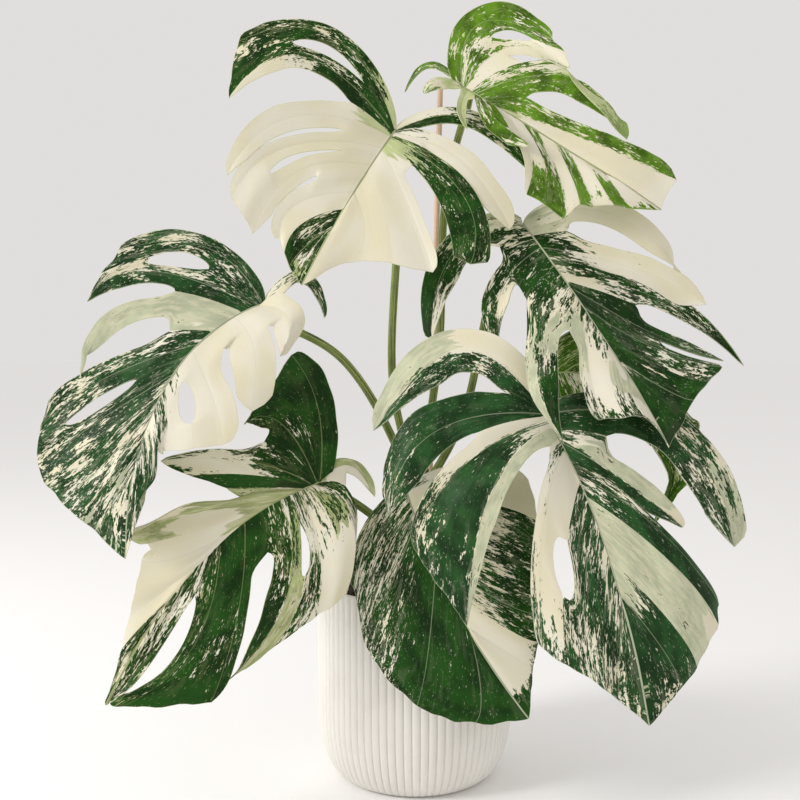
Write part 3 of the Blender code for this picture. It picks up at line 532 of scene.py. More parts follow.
def add_half(mesh, leaf, lobes, flip, seed):
    """Adds one side of a blade to its mesh, lobe by lobe, and then joins it to the midrib."""
    half = Half(leaf, lobes, seed)
    columns = np.linspace(-1, 1, 2 * ACROSS + 1)
    widths = []
    for index in range(len(lobes)):
        low, _ = half.edge(index, -1)
        high, _ = half.edge(index, 1)
        row = int(ROWS * WIDEST_AT)
        widths.append(np.linalg.norm(high[row] - low[row]))
    starts = np.concatenate([[0], np.cumsum(widths)])
    inner = []
    for index, lobe in enumerate(lobes):
        low, low_open = half.edge(index, -1)
        high, high_open = half.edge(index, 1)
        vein = half.veins[index]
        share = half.share
        length = np.linalg.norm(np.diff(vein, axis=0), axis=1).sum()
        low_side = np.clip(-columns, 0, 1)[None, :, None]
        high_side = np.clip(columns, 0, 1)[None, :, None]
        places = (
            vein[:, None, :]
            + (low - vein)[:, None, :] * low_side + (high - vein)[:, None, :] * high_side
        )
        # The margin of joined lobes follows one smooth curve through their tips.
        for side, boundary in ((-1, index - 1), (1, index)):
            if boundary < 0 or not half.joined(boundary):
                continue
            mask = (columns * side > 0)
            reach = np.abs(columns[mask]) / 2
            if boundary == len(lobes) - 1:
                along = np.abs(columns[mask])
            else:
                along = reach if side > 0 else 1 - reach
            full = half.margin_offset(boundary, along)
            if boundary < len(lobes) - 1:
                already = half.margin_offset(boundary, [0.5])[0]
                full = full - already[None, :] * np.abs(columns[mask])[:, None]
            places[:, mask] += (share ** 3)[:, None, None] * full[None]
        from_vein = np.linalg.norm(places - vein[:, None, :], axis=-1)
        opening = np.where(columns[None, :] < 0, low_open[:, None], high_open[:, None])
        from_midrib = share[:, None] * length * np.ones_like(from_vein)
        if index == len(lobes) - 1:
            nearest = half.midrib(lobe.root + (1 - lobe.root) * share)
            aside = np.linalg.norm(places - nearest[:, None, :], axis=-1)
            from_midrib = np.minimum(from_midrib, aside)
        green_low, milk_low = paint_values(lobe.paint.split("/")[0], share)
        green_high, milk_high = paint_values(lobe.paint.split("/")[-1], share)
        blend = smooth_step(columns * PAINT_BLEND + 0.5)[None, :]
        green = green_low[:, None] * (1 - blend) + green_high[:, None] * blend
        milk = milk_low[:, None] * (1 - blend) + milk_high[:, None] * blend
        across = starts[index] + (columns + 1) / 2 * widths[index]
        edge_low = np.linalg.norm(places - low[:, None, :], axis=-1)
        edge_high = np.linalg.norm(places - high[:, None, :], axis=-1)
        free_low = low_open[:, None] > OPEN_ENOUGH
        free_high = high_open[:, None] > OPEN_ENOUGH
        margin = np.minimum(np.where(free_low, edge_low, 1), np.where(free_high, edge_high, 1))
        margin = np.minimum(margin, (1 - share)[:, None] * length)
        values = np.stack([
            np.broadcast_to(across[None, :], from_vein.shape),
            np.broadcast_to((share * length)[:, None], from_vein.shape),
            np.full_like(from_vein, seed),
            green, milk, np.broadcast_to(opening, from_vein.shape),
            from_vein, from_midrib, margin,
            np.broadcast_to(columns[None, :], from_vein.shape),
            np.broadcast_to(share[:, None], from_vein.shape),
        ], axis=-1)
        numbers = mesh.add(places[1:], values[1:])
        before = lobes[index - 1].root if index else -lobe.root
        after = lobes[index + 1].root if index + 1 < len(lobes) else None
        low_root = (before + lobe.root) / 2
        high_root = (after + lobe.root) / 2 if after else lobe.root
        last = numbers.shape[1] if after else numbers.shape[1] - 1
        for column in range(last):
            place = columns[column]
            reach = (lobe.root - low_root) if place < 0 else (high_root - lobe.root)
            inner.append((lobe.root + place * reach, numbers[0, column]))
        if after is None:
            mesh.grid(numbers[:, :-1], flip)
            for row in range(1, ROWS):
                inner.append((lobe.root + (1 - lobe.root) * share[row + 1], numbers[row, -2]))
        else:
            mesh.grid(numbers, flip)
    shares = np.linspace(0, 1, MIDRIB_STEPS + 1)
    places = half.midrib(shares)
    inner_shares, inner_numbers = (np.array(column) for column in zip(*inner))
    nearest = np.abs(inner_shares[None, :] - shares[:, None]).argmin(axis=1)
    values = np.concatenate(mesh.values)[inner_numbers[nearest]]
    values[:, FROM_MIDRIB] = 0
    mesh.zip_rows(list(zip(shares, mesh.add(places, values))), inner, flip)


def point_normals(points, faces):
    a, b, c = (points[faces[:, k]] for k in range(3))
    normals = np.cross(b - a, c - a)
    total = np.zeros_like(points)
    for k in range(3):
        np.add.at(total, faces[:, k], normals)
    return unit(total)


def merge_points(places, faces):
    """Makes points at one place one point; returns points, faces and each old point's number."""
    keys = np.round(places / MERGE_DISTANCE).astype(np.int64)
    _, first, index = np.unique(keys, axis=0, return_index=True, return_inverse=True)
    index = index.reshape(-1)
    welded = index[faces]
    whole = (
        (welded[:, 0] != welded[:, 1]) & (welded[:, 1] != welded[:, 2])
        & (welded[:, 0] != welded[:, 2])
    )
    return places[first], welded[whole], faces[whole], index


def leaf_undulation(points, name, scale):
    """Smooth random waves over the blade, from -1 to 1, so that it isn't perfectly even."""
    shift = Vector((len(name) * 1.7, sum(map(ord, name)) * 0.13, 0))
    return np.array([noise.noise(Vector(point) * scale + shift) for point in points])


def averaged(values, index, count):
    """Mean of the corner values that meet at each point."""
    total = np.zeros(count)
    np.add.at(total, index, values)
    return total / np.bincount(index, minlength=count)


def loose_rim(welded, corners):
    """Sides of faces that no other face shares, as pairs of points and pairs of corners."""
    sides, corner_sides = (
        np.concatenate([faces[:, [0, 1]], faces[:, [1, 2]], faces[:, [2, 0]]])
        for faces in (welded, corners)
    )
    count = welded.max() + 1
    is_open = ~np.isin(sides[:, 0] * count + sides[:, 1], sides[:, 1] * count + sides[:, 0])
    return sides[is_open], corner_sides[is_open]


def new_mesh(name, points, faces):
    data = bpy.data.meshes.new(name)
    data.from_pydata([tuple(point) for point in points], [], faces)
    data.update()
    return data


def add_object(name, data):
    obj = bpy.data.objects.new(name, data)
    bpy.context.scene.collection.objects.link(obj)
    return obj


def leaf_object(name, leaf):
    """A blade: its two halves as one sheet with relief and waves, given a thickness."""
    mesh = Mesh()
    add_half(mesh, leaf, leaf.left, True, LEFT_SEED)
    add_half(mesh, leaf, leaf.right, False, RIGHT_SEED)
    places = np.concatenate(mesh.places)
    values = np.concatenate(mesh.values)
    faces = np.concatenate(mesh.faces)
    points, welded, corners, index = merge_points(places, faces)
    normals = point_normals(points, welded)
    relief = vein_relief(*values[:, [COLUMN, FROM_VEIN, FROM_MIDRIB, SHARE, OPENING]].T)
    height = averaged(relief, index, len(points))
    out = averaged(values[:, SHARE], index, len(points))
    growth = UNDULATION_AT_ROOT + UNDULATION_GROWTH * out
    waves = leaf_undulation(points, name, UNDULATION_SCALE) * UNDULATION * growth
    frill = leaf_undulation(points, name, MARGIN_WAVE_SCALE) * MARGIN_WAVE
    frill = frill * out ** MARGIN_WAVE_POWER
    points = points + normals * (height + waves)[:, None] + unit(points) * frill[:, None]
    normals = point_normals(points, welded)
    half = SHOWN_THICKNESS / 2
    count = len(points)
    solid = np.concatenate([points + normals * half, points - normals * half])
    rim, rim_corners = loose_rim(welded, corners)
    rim_faces = np.concatenate([
        np.stack([rim[:, 0], rim[:, 0] + count, rim[:, 1] + count], 1),
        np.stack([rim[:, 0], rim[:, 1] + count, rim[:, 1]], 1),
    ])
    rim_values = np.concatenate([
        np.stack([rim_corners[:, 0], rim_corners[:, 0], rim_corners[:, 1]], 1),
        np.stack([rim_corners[:, 0], rim_corners[:, 1], rim_corners[:, 1]], 1),
    ])
    all_faces = np.concatenate([welded, welded[:, ::-1] + count, rim_faces])
    all_values = np.concatenate([corners, corners[:, ::-1], rim_values])
    is_back = np.concatenate([
        np.zeros(len(welded)), np.ones(len(welded)), np.full(len(rim_faces), 0.5)
    ])
    data = new_mesh(name, solid, all_faces.tolist())
    corner_values = values[all_values.reshape(-1)]
    flow = corner_values[:, [LIES_ACROSS, LIES_ALONG, SEED]]
    paint = np.column_stack([corner_values[:, [GREEN, MILK]], np.repeat(is_back, 3)])
    veins = corner_values[:, [FROM_VEIN, FROM_MIDRIB, FROM_EDGE]]
    for title, numbers in (("flow", flow), ("paint", paint), ("veins", veins)):
        attribute = data.attributes.new(title, "FLOAT_VECTOR", "CORNER")
        attribute.data.foreach_set("vector", numbers.astype(np.float32).ravel())
    data.shade_smooth()
    data.set_sharp_from_angle(angle=BLADE_SHARP_ANGLE)
    obj = add_object(name, data)
    obj.location = CROWN + np.array(leaf.at) * MM
    return obj


# ---------------------------------------------------------------- materials
class Graph:
    """A material's node tree, with short ways to add to it."""

    def __init__(self, name):
        self.material = bpy.data.materials.new(name)
        self.material.use_nodes = True
        self.tree = self.material.node_tree
        self.shader = self.tree.nodes["Principled BSDF"]

    def node(self, kind, **settings):
        node = self.tree.nodes.new("ShaderNode" + kind)
        for name, value in settings.items():
            setattr(node, name, value)
        return node

    def put(self, value, socket):
        if isinstance(value, bpy.types.NodeSocket):
            self.tree.links.new(value, socket)
        else:
            socket.default_value = value

    def attribute(self, name):
        return self.split(self.node("Attribute", attribute_name=name).outputs["Vector"])

    def position(self):
        return self.node("TexCoord").outputs["Object"]

    def vector(self, x, y, z):
        node = self.node("CombineXYZ")
        for value, socket in zip((x, y, z), node.inputs):
            self.put(value, socket)
        return node.outputs[0]

    def split(self, value):
        node = self.node("SeparateXYZ")
        self.put(value, node.inputs[0])
        return node.outputs

    def math(self, operation, *values):
        node = self.node("Math", operation=operation)
        for value, socket in zip(values, node.inputs):
            self.put(value, socket)
        return node.outputs[0]

    def times(self, a, b):
        return self.math("MULTIPLY", a, b)

    def minus(self, a, b):
        return self.math("SUBTRACT", a, b)

    def blend(self, a, b, c):
        """a times b, plus c."""
        return self.math("MULTIPLY_ADD", a, b, c)

    def along_z(self, place, across, along):
        """A place with its x and y multiplied by one number and its z by another."""
        factors = (across, across, along)
        return self.vector(*(
            self.times(part, factor) for part, factor in zip(self.split(place), factors)
        ))

    def noise(self, place, scale, detail=3.0, roughness=0.55, distortion=0.0):
        node = self.node("TexNoise")
        self.put(place, node.inputs["Vector"])
        node.inputs["Scale"].default_value = scale
        node.inputs["Detail"].default_value = detail
        node.inputs["Roughness"].default_value = roughness
        node.inputs["Distortion"].default_value = distortion
        return node.outputs["Fac"]

    def ramp(self, value, low, high, to_low=0.0, to_high=1.0):
        return self.ranged("SMOOTHSTEP", value, low, high, to_low, to_high)

    def line(self, value, low, high, to_low=0.0, to_high=1.0):
        return self.ranged("LINEAR", value, low, high, to_low, to_high)

    def ranged(self, kind, *values):
        """A value taken from one range, low to high, to another."""
        node = self.node("MapRange", interpolation_type=kind)
        names = ("Value", "From Min", "From Max", "To Min", "To Max")
        for name, value in zip(names, values):
            self.put(value, node.inputs[name])
        return node.outputs[0]

    def mix(self, share, a, b):
        node = self.node("Mix", data_type="RGBA")
        self.put(share, node.inputs[0])
        self.put(rgba(a), node.inputs[6])
        self.put(rgba(b), node.inputs[7])
        return node.outputs[2]

    def bump(self, height, strength, distance):
        node = self.node("Bump")
        node.inputs["Strength"].default_value = strength
        node.inputs["Distance"].default_value = distance
        self.put(height, node.inputs["Height"])
        self.tree.links.new(node.outputs[0], self.shader.inputs["Normal"])

    def finish(self, colour, roughness, **values):
        self.put(rgba(colour), self.shader.inputs["Base Color"])
        self.put(roughness, self.shader.inputs["Roughness"])
        for name, value in values.items():
            self.shader.inputs[name.replace("_", " ")].default_value = value
        return self.material


def rgba(colour):
    return (*colour, 1.0) if isinstance(colour, tuple) else colour


def scaled(colour, factor):
    return tuple(min(value * factor, 1.0) for value in colour)


# Sizes of the leaf's patterns in mm, across the veins and along them.
BLOTCH = (13, 42)
STREAK = (3.6, 21)
FLECK = (1.2, 5.0)
FINE_FLECK = (1.0, 4.6)
MILKY_PATCH = (9, 55)
# Size of the patches of painted sheen.
PAINTED_SHEEN_PATCH = (5.5, 30)
FIBRE = (0.7, 30)
CREAM_SHADE = (40, 90)
FIRST_PATTERN = 2.0
PATTERN_STEP = 11.3


def leaf_material(name, leaf, seed):
    """Cream, with milky patches and green marbling along the veins as the lobe's paint says."""
    g = Graph(name)
    across, along, side = g.attribute("flow")
    green, milk, back = g.attribute("paint")
    from_vein, from_midrib, margin = g.attribute("veins")
    shift = g.blend(side, 3.1, seed)

    def stretched(size, more, *shape):
        place = g.vector(
            g.math("DIVIDE", across, size[0] * MM), g.math("DIVIDE", along, size[1] * MM),
            g.math("ADD", shift, more),
        )
        return g.noise(place, 1.0, *shape)

    blotch = stretched(BLOTCH, 0.0, 3.0, 0.5, 0.4)
    streak = stretched(STREAK, 5.0, 4.0, 0.62, 0.3)
    fleck = stretched(FLECK, 9.0, 2.0, 0.6)
    field = g.blend(blotch, 0.34, g.times(streak, 0.66))
    field = g.blend(g.minus(fleck, 0.5), 0.42, field)
    level = g.line(green, 0.0, 1.0, 0.68, 0.33)
    is_green = g.ramp(g.minus(field, level), -0.006, 0.008)
    is_green = g.times(is_green, g.ramp(green, 0.0, 0.06))

    milk_field = stretched(MILKY_PATCH, 21.0, 3.0, 0.6, 0.3)
    milk_level = g.ramp(milk, 0.0, 1.0, 0.78, 0.30)
    is_milky = g.ramp(g.minus(milk_field, milk_level), -0.02, 0.04)
    is_milky = g.times(is_milky, g.ramp(milk, 0.0, 0.08))

    # Pale flecks inside the green, fewer where it is solid.
    fine = stretched(FINE_FLECK, 33.0, 2.0, 0.7)
    fleck_level = g.line(green, 0.5, 1.0, 0.58, 0.65)
    is_fleck = g.ramp(g.minus(fine, fleck_level), 0.0, 0.05, 0.0, 0.75)

    cloud = g.noise(g.vector(across, along, shift), 38.0, 2.0)
    dark = g.mix(g.ramp(cloud, 0.35, 0.65), scaled(leaf.dark, 0.6), scaled(leaf.dark, 1.5))
    # Painted sheen: a lighter, bluer green over part of the marbled green stands in for the leaf's
    # soft gloss.
    painted_sheen_field = stretched(PAINTED_SHEEN_PATCH, 47.0, 3.0, 0.6)
    is_painted_sheen = g.times(g.ramp(painted_sheen_field, 0.54, 0.60, 0.0, 0.26), g.ramp(green, 1.0, 0.7, 0.3))
    dark = g.mix(is_painted_sheen, dark, scaled(leaf.milk, 0.55))
    dark = g.mix(is_fleck, dark, scaled(leaf.milk, 0.8))
    fibre = stretched(FIBRE, 2.0, 2.0, 0.5)
    dark = g.mix(g.ramp(fibre, 0.45, 0.75, 0.0, 0.03), dark, scaled(leaf.milk, 0.4))
    broad = stretched(CREAM_SHADE, 61.0, 2.0)
    cream = g.mix(g.ramp(broad, 0.35, 0.65), CREAM, WHITE_CREAM)
    cream = g.mix(g.ramp(fibre, 0.55, 0.8, 0.0, 0.08), cream, scaled(leaf.milk, 1.2))
    milky = g.mix(g.ramp(cloud, 0.3, 0.7), scaled(leaf.milk, 0.85), scaled(leaf.milk, 1.15))
    milky = g.mix(g.ramp(streak, 0.42, 0.62, 0.0, 0.5), milky, CREAM)
    colour = g.mix(is_milky, cream, milky)
    # A paler green lies along the edges of the dark patches.
    is_halo = g.ramp(g.minus(field, level), -0.024, -0.006, 0.0, 0.55)
    is_halo = g.times(is_halo, g.ramp(green, 0.0, 0.3))
    colour = g.mix(is_halo, colour, g.mix(0.4, scaled(leaf.milk, 0.55), scaled(leaf.dark, 4.0)))
    colour = g.mix(is_green, colour, dark)

    # Veins: thin lines for the side veins, and a pale midrib with a darker line each side.
    vein_width = g.ramp(along, 0.0, 0.10, 0.0005, 0.0001)
    is_vein = g.ramp(g.minus(from_vein, vein_width), 0.0004, 0.0, 0.0, 0.32)
    on_green = g.times(is_vein, is_green)
    colour = g.mix(on_green, colour, leaf.milk)
    colour = g.mix(g.times(is_vein, 0.35), colour, scaled(leaf.milk, 0.8))
    beside = g.ramp(from_midrib, 0.0022, 0.0010, 0.0, 0.45)
    colour = g.mix(g.times(beside, is_green), colour, scaled(leaf.dark, 0.8))
    is_midrib = g.ramp(from_midrib, 0.0011, 0.0005, 0.0, 0.85)
    line = g.mix(is_green, scaled(leaf.milk, 0.55), scaled(leaf.milk, 1.1))
    colour = g.mix(is_midrib, colour, line)
    is_edge = g.ramp(margin, 0.0007, 0.0002, 0.0, 0.5)
    colour = g.mix(is_edge, colour, scaled(leaf.milk, 1.1))
    # The underside is paler.
    paler = g.mix(0.35, colour, leaf.milk)
    colour = g.mix(g.ramp(back, 0.6, 0.9), colour, paler)

    ridges = g.blend(fibre, 0.6, g.times(streak, 0.4))
    g.bump(g.blend(is_vein, -0.6, ridges), 0.25, 0.0006)
    rough = g.ramp(streak, 0.3, 0.7, 0.34, 0.46)
    return g.finish(
        colour, rough, Subsurface_Weight=0.12, Subsurface_Radius=(0.6, 0.9, 0.3),
        Subsurface_Scale=0.002, Specular_IOR_Level=0.10,
    )


def stalk_material():
    g = Graph("stalk")
    place = g.position()
    around, along, _ = g.attribute("flow")
    lengthwise = g.vector(g.times(around, 5.0), g.times(along, 9.0), 0.0)
    stripe = g.noise(lengthwise, 1.0, 4.0, 0.6)
    cloud = g.noise(place, 60.0, 3.0)
    colour = g.mix(g.ramp(cloud, 0.3, 0.7), *STALK_TONES)
    colour = g.mix(g.ramp(stripe, 0.52, 0.60, 0.0, 0.85), colour, STALK_PALE_STRIPE)
    colour = g.mix(g.ramp(stripe, 0.44, 0.38, 0.0, 0.8), colour, STALK_DARK_STRIPE)
    g.bump(stripe, 0.25, 0.0008)
    return g.finish(colour, g.ramp(cloud, 0.3, 0.7, 0.40, 0.55), Specular_IOR_Level=0.45,
                    Subsurface_Weight=0.1, Subsurface_Radius=(0.5, 0.8, 0.2),
                    Subsurface_Scale=0.002)


def stem_material():
    g = Graph("stem")
    place = g.position()
    rings = g.noise(g.along_z(place, 30.0, 420.0), 1.0, 4.0, 0.6)
    cloud = g.noise(place, 90.0, 4.0)
    colour = g.mix(g.ramp(cloud, 0.3, 0.7), *STEM_TONES)
    colour = g.mix(g.ramp(rings, 0.55, 0.68, 0.0, 0.8), colour, STEM_RING)
    g.bump(rings, 0.5, 0.0012)
    return g.finish(colour, g.ramp(rings, 0.3, 0.7, 0.6, 0.85))


def wood_material():
    g = Graph("stake_wood")
    place = g.position()
    grain = g.noise(g.along_z(place, 900.0, 22.0), 1.0, 4.0, 0.6)
    tone = g.noise(g.along_z(place, 60.0, 14.0), 1.0, 2.0)
    colour = g.mix(g.ramp(tone, 0.3, 0.7), *WOOD_TONES)
    colour = g.mix(g.ramp(grain, 0.50, 0.68, 0.0, 0.7), colour, WOOD_GRAIN)
    g.bump(grain, 0.35, 0.0004)
    return g.finish(colour, g.ramp(grain, 0.3, 0.7, 0.55, 0.75))


def ceramic_material():
    g = Graph("ceramic")
    place = g.position()
    cloud = g.noise(place, 18.0, 3.0)
    grit = g.noise(place, 900.0, 3.0, 0.7)
    speck = g.noise(place, 420.0, 1.0)
    colour = g.mix(g.ramp(cloud, 0.3, 0.7), *CERAMIC_TONES)
    colour = g.mix(g.ramp(speck, 0.74, 0.80, 0.0, 0.35), colour, CERAMIC_SPECK)
    g.bump(grit, 0.12, 0.0003)
    return g.finish(colour, g.ramp(cloud, 0.3, 0.7, 0.42, 0.52), Specular_IOR_Level=0.4)


def soil_material():
    g = Graph("soil")
    place = g.position()
    lump = g.noise(place, 160.0, 5.0, 0.7)
    grit = g.noise(place, 700.0, 3.0, 0.7)
    colour = g.mix(g.ramp(lump, 0.35, 0.65), *SOIL_TONES)
    colour = g.mix(g.ramp(grit, 0.60, 0.70, 0.0, 0.8), colour, SOIL_GRIT)
    g.bump(g.math("ADD", lump, grit), 0.8, 0.002)
    return g.finish(colour, g.ramp(grit, 0.3, 0.7, 0.85, 1.0), Specular_IOR_Level=0.2)


# ---------------------------------------------------------------- tubes, pot and soil
TUBE_SHARP_ANGLE = math.radians(50)
STALK_STEPS = 70
STALK_AROUND = 20
STALK_RIDGES = 5
STALK_RIDGE_SHARE = 0.035
STALK_SWELLING = 0.0007
STALK_SWELLS_AT = 0.955
STALK_SWELLING_LENGTH = 0.022
SHEATH_THICKNESS = 0.0012
SHEATH_LENGTH = 0.10
STALK_FIRST_GAP = 0.0006
STALK_JOIN = 0.0004
SEATING_STEPS = 4
SEATED_RINGS = 8
STEM_STEPS = 60
STEM_AROUND = 28
STEM_RIDGE_SHARE = 0.02
STEM_ROUND_FROM = 0.97
LEAF_RING_HEIGHT = 0.0011
LEAF_RING_WIDTH = 0.0022
STAKE_STEPS = 40
STAKE_AROUND = 18
STAKE_IN_SOIL = 0.010
STAKE_BEVEL_FROM = 0.995
STAKE_BEVEL_SHARE = 0.18
POINTS_PER_RIB = 10
RIB_DEPTH = 0.0019
RIB_DEPTH_AT_FOOT = 0.45
RIB_FULL_HEIGHT = 0.03
# Rings of the pot's foot: inset and height. Above them come a curve and an upright wall.
FOOT = ((0.004, 0.0), (0.0016, 0.0003))
CURVE_LIFT = 0.0006
CURVE_START = 0.06
CURVE_RINGS = 34
WALL_ABOVE_CURVE = 0.008
WALL_BELOW_RIM = 0.005
WALL_RINGS = 14
# Rings of the pot's lip from outside to inside: inset, drop below the rim, depth of the ribs.
LIP = (
    (0.0003, 0.0028, 0.0015), (0.0008, 0.0012, 0.0008), (0.0018, 0.0003, 0.0003),
    (0.0030, 0.0, 0.0), (0.0045, 0.0004, 0.0), (POT_WALL - 0.0003, 0.0016, 0.0),
    (POT_WALL, 0.0035, 0.0), (POT_WALL, 0.030, 0.0),
)
SOIL_AROUND = 140
SOIL_STEPS = 44
SOIL_CLEARANCE = 0.0004
SOIL_SHOWN_DEPTH = 0.02
SOIL_ROUGHNESS = 0.0016
SOIL_ROUGHNESS_SCALE = 70
CRUMB_COUNT = 620
CRUMB_SIZES = (0.0010, 0.0032)
CRUMBS_FROM_POT = 0.005
CRUMB_SEED = 11


def ring_mesh(name, rings, values=None):
    """Mesh object through rings of points, ends filled, with an optional flow value for each."""
    around = len(rings[0])
    points = np.concatenate(rings)
    faces = []
    for row in range(len(rings) - 1):
        for k in range(around):
            a, b = row * around + k, row * around + (k + 1) % around
            faces.append((a, b, b + around, a + around))
    faces.append(tuple(reversed(range(around))))
    faces.append(tuple(range(len(points) - around, len(points))))
    data = new_mesh(name, points, faces)
    if values is not None:
        attribute = data.attributes.new("flow", "FLOAT_VECTOR", "POINT")
        attribute.data.foreach_set("vector", np.concatenate(values).astype(np.float32).ravel())
    data.shade_smooth()
    data.set_sharp_from_angle(angle=TUBE_SHARP_ANGLE)
    return add_object(name, data)


def path_points(points, count):
    """Points along a smooth curve through the given ones."""
    points = [np.asarray(point, float) for point in points]
    points = [2 * points[0] - points[1], *points, 2 * points[-1] - points[-2]]
    spans = len(points) - 3
    path = []
    for step in range(count + 1):
        share = step / count * spans
        span = min(int(share), spans - 1)
        path.append(catmull_rom(*points[span:span + 4], share - span))
    return np.array(path)


def tube_rings(path, radius_at, around, ridge):
    """Rings of a tube along a path, with a length and an angle at each point for its stripes."""
    rings, values = [], []
    side = None
    travelled = 0.0
    for step, point in enumerate(path):
        ahead = unit(path[min(step + 1, len(path) - 1)] - path[max(step - 1, 0)])
        if side is None:
            side = unit(np.cross(ahead, (0.3, 1.0, 0.2)))
        side = unit(side - ahead * np.dot(side, ahead))
        up = np.cross(ahead, side)
        if step:
            travelled += np.linalg.norm(point - path[step - 1])
        turns = np.arange(around) / around * 2 * math.pi
        radius = radius_at(step / (len(path) - 1)) * (1 + ridge * np.cos(STALK_RIDGES * turns))
        outward = np.cos(turns)[:, None] * side + np.sin(turns)[:, None] * up
        rings.append(point + radius[:, None] * outward)
        values.append(np.stack([np.cos(turns), np.full(around, travelled), np.sin(turns)], 1))
    return rings, values


def tube(name, path, radius_at, around, ridge=0.0):
    return ring_mesh(name, *tube_rings(path, radius_at, around, ridge))


def stem_axis(height):
    lean = STEM_LEAN * (height / STEM_ABOVE_SOIL) ** 2
    return CROWN + np.array((STEM_PLACE[0] + lean, STEM_PLACE[1], height))


def make_stalk(name, leaf, blade):
    """A stalk from the stem to its blade, whose tip goes a little into the blade's back."""
    height, way = STALKS[name]
    along = np.array(leaf.belly) * MM
    base = CROWN + np.array(leaf.at) * MM
    midrib = Half(leaf, leaf.left).midrib([STALK_MEETS])[0]
    left, right = np.array(leaf.left[1].belly), np.array(leaf.right[1].belly)
    back = unit(np.cross((right - left).astype(float), along))
    back = back if back[1] > 0 else -back
    end = base + midrib + back * (STALK_TIP_RADIUS + STALK_FIRST_GAP)
    points = [stem_axis(MM * height), *(CROWN + MM * np.array(point) for point in way)]

    def radius_at(share):
        radius = STALK_BASE_RADIUS + (STALK_TIP_RADIUS - STALK_BASE_RADIUS) * share
        from_swelling = (share - STALK_SWELLS_AT) / STALK_SWELLING_LENGTH
        swelling = STALK_SWELLING * math.exp(-from_swelling ** 2)
        sheath = SHEATH_THICKNESS * math.exp(-(share / SHEATH_LENGTH) ** 2)
        return radius + swelling + sheath

    def path_to(end):
        return path_points([*points, end], STALK_STEPS)

    skin = BVHTree.FromPolygons(
        [vertex.co + blade.location for vertex in blade.data.vertices],
        [tuple(polygon.vertices) for polygon in blade.data.polygons],
    )
    for _ in range(SEATING_STEPS):
        rings, _ = tube_rings(path_to(end), radius_at, STALK_AROUND, STALK_RIDGE_SHARE)
        last = np.concatenate(rings[-SEATED_RINGS:])
        found = [(skin.find_nearest(Vector(point)), point) for point in last]
        (nearest, _, _, _), point = min(found, key=lambda pair: pair[0][3])
        end = end + np.array(nearest) - point
    path = path_to(end - back * STALK_JOIN)
    return tube("petiole_" + name[5:], path, radius_at, STALK_AROUND, STALK_RIDGE_SHARE)


def make_stem():
    heights = np.linspace(-STEM_IN_SOIL, STEM_ABOVE_SOIL, STEM_STEPS)
    path = np.array([stem_axis(height) for height in heights])

    def radius_at(share):
        height = share * (STEM_ABOVE_SOIL + STEM_IN_SOIL) - STEM_IN_SOIL
        rise = max(height, 0) / STEM_ABOVE_SOIL
        radius = STEM_RADIUS + (STEM_TOP_RADIUS - STEM_RADIUS) * rise
        rings = sum(
            LEAF_RING_HEIGHT * math.exp(-((height - MM * place[0]) / LEAF_RING_WIDTH) ** 2)
            for place in STALKS.values()
        )
        rounded = max(share - STEM_ROUND_FROM, 0) / (1.001 - STEM_ROUND_FROM)
        return (radius + rings) * math.sqrt(1 - rounded ** 2)

    return tube("stem", path, radius_at, STEM_AROUND, STEM_RIDGE_SHARE)


def make_stake():
    low = CROWN + np.array((*STAKE_PLACE, -STAKE_IN_SOIL))
    high = CROWN + np.array((STAKE_PLACE[0] + STAKE_LEAN, STAKE_PLACE[1], STAKE_ABOVE_SOIL))
    path = np.array([low + (high - low) * k / STAKE_STEPS for k in range(STAKE_STEPS + 1)])

    def radius_at(share):
        bevel = max(share - STAKE_BEVEL_FROM, 0) / (1 - STAKE_BEVEL_FROM)
        return STAKE_RADIUS * (1 - STAKE_BEVEL_SHARE * bevel)

    return tube("stake", path, radius_at, STAKE_AROUND)


def outer_radius(height):
    rise = np.clip(height / FOOT_CURVE_HEIGHT, 0, 1)
    return FOOT_RADIUS + (POT_RADIUS - FOOT_RADIUS) * np.sqrt(1 - (1 - rise) ** 2)


def make_pot():
    """The ribbed pot: rounded ribs with narrow grooves, a plain lip and a plain inside."""
    around = RIB_COUNT * POINTS_PER_RIB
    turns = np.arange(around) / around * 2 * math.pi
    phase = np.arange(around) / POINTS_PER_RIB % 1
    rib = np.sqrt(np.clip(1 - (2 * phase - 1) ** 2, 0, 1)) - 1

    def ring(radius, height, depth):
        out = radius + rib * depth
        return np.stack([out * np.cos(turns), out * np.sin(turns), np.full(around, height)], 1)

    rings = [ring(FOOT_RADIUS - inset, height, 0.0) for inset, height in FOOT]
    climb = 1 - np.cos(np.linspace(CURVE_START, math.pi / 2, CURVE_RINGS))
    for height in FOOT_CURVE_HEIGHT * climb:
        depth = RIB_DEPTH * min(1, RIB_DEPTH_AT_FOOT + height / RIB_FULL_HEIGHT)
        rings.append(ring(outer_radius(height), height + CURVE_LIFT, depth))
    low, high = FOOT_CURVE_HEIGHT + WALL_ABOVE_CURVE, POT_HEIGHT - WALL_BELOW_RIM
    rings += [ring(POT_RADIUS, height, RIB_DEPTH) for height in np.linspace(low, high, WALL_RINGS)]
    rings += [ring(POT_RADIUS - inset, POT_HEIGHT - drop, depth) for inset, drop, depth in LIP]
    return ring_mesh("pot", rings)


def soil_height(radius):
    edge = POT_RADIUS - POT_WALL
    return CROWN[2] + SOIL_CROWN * (1 - (radius / edge) ** 2)


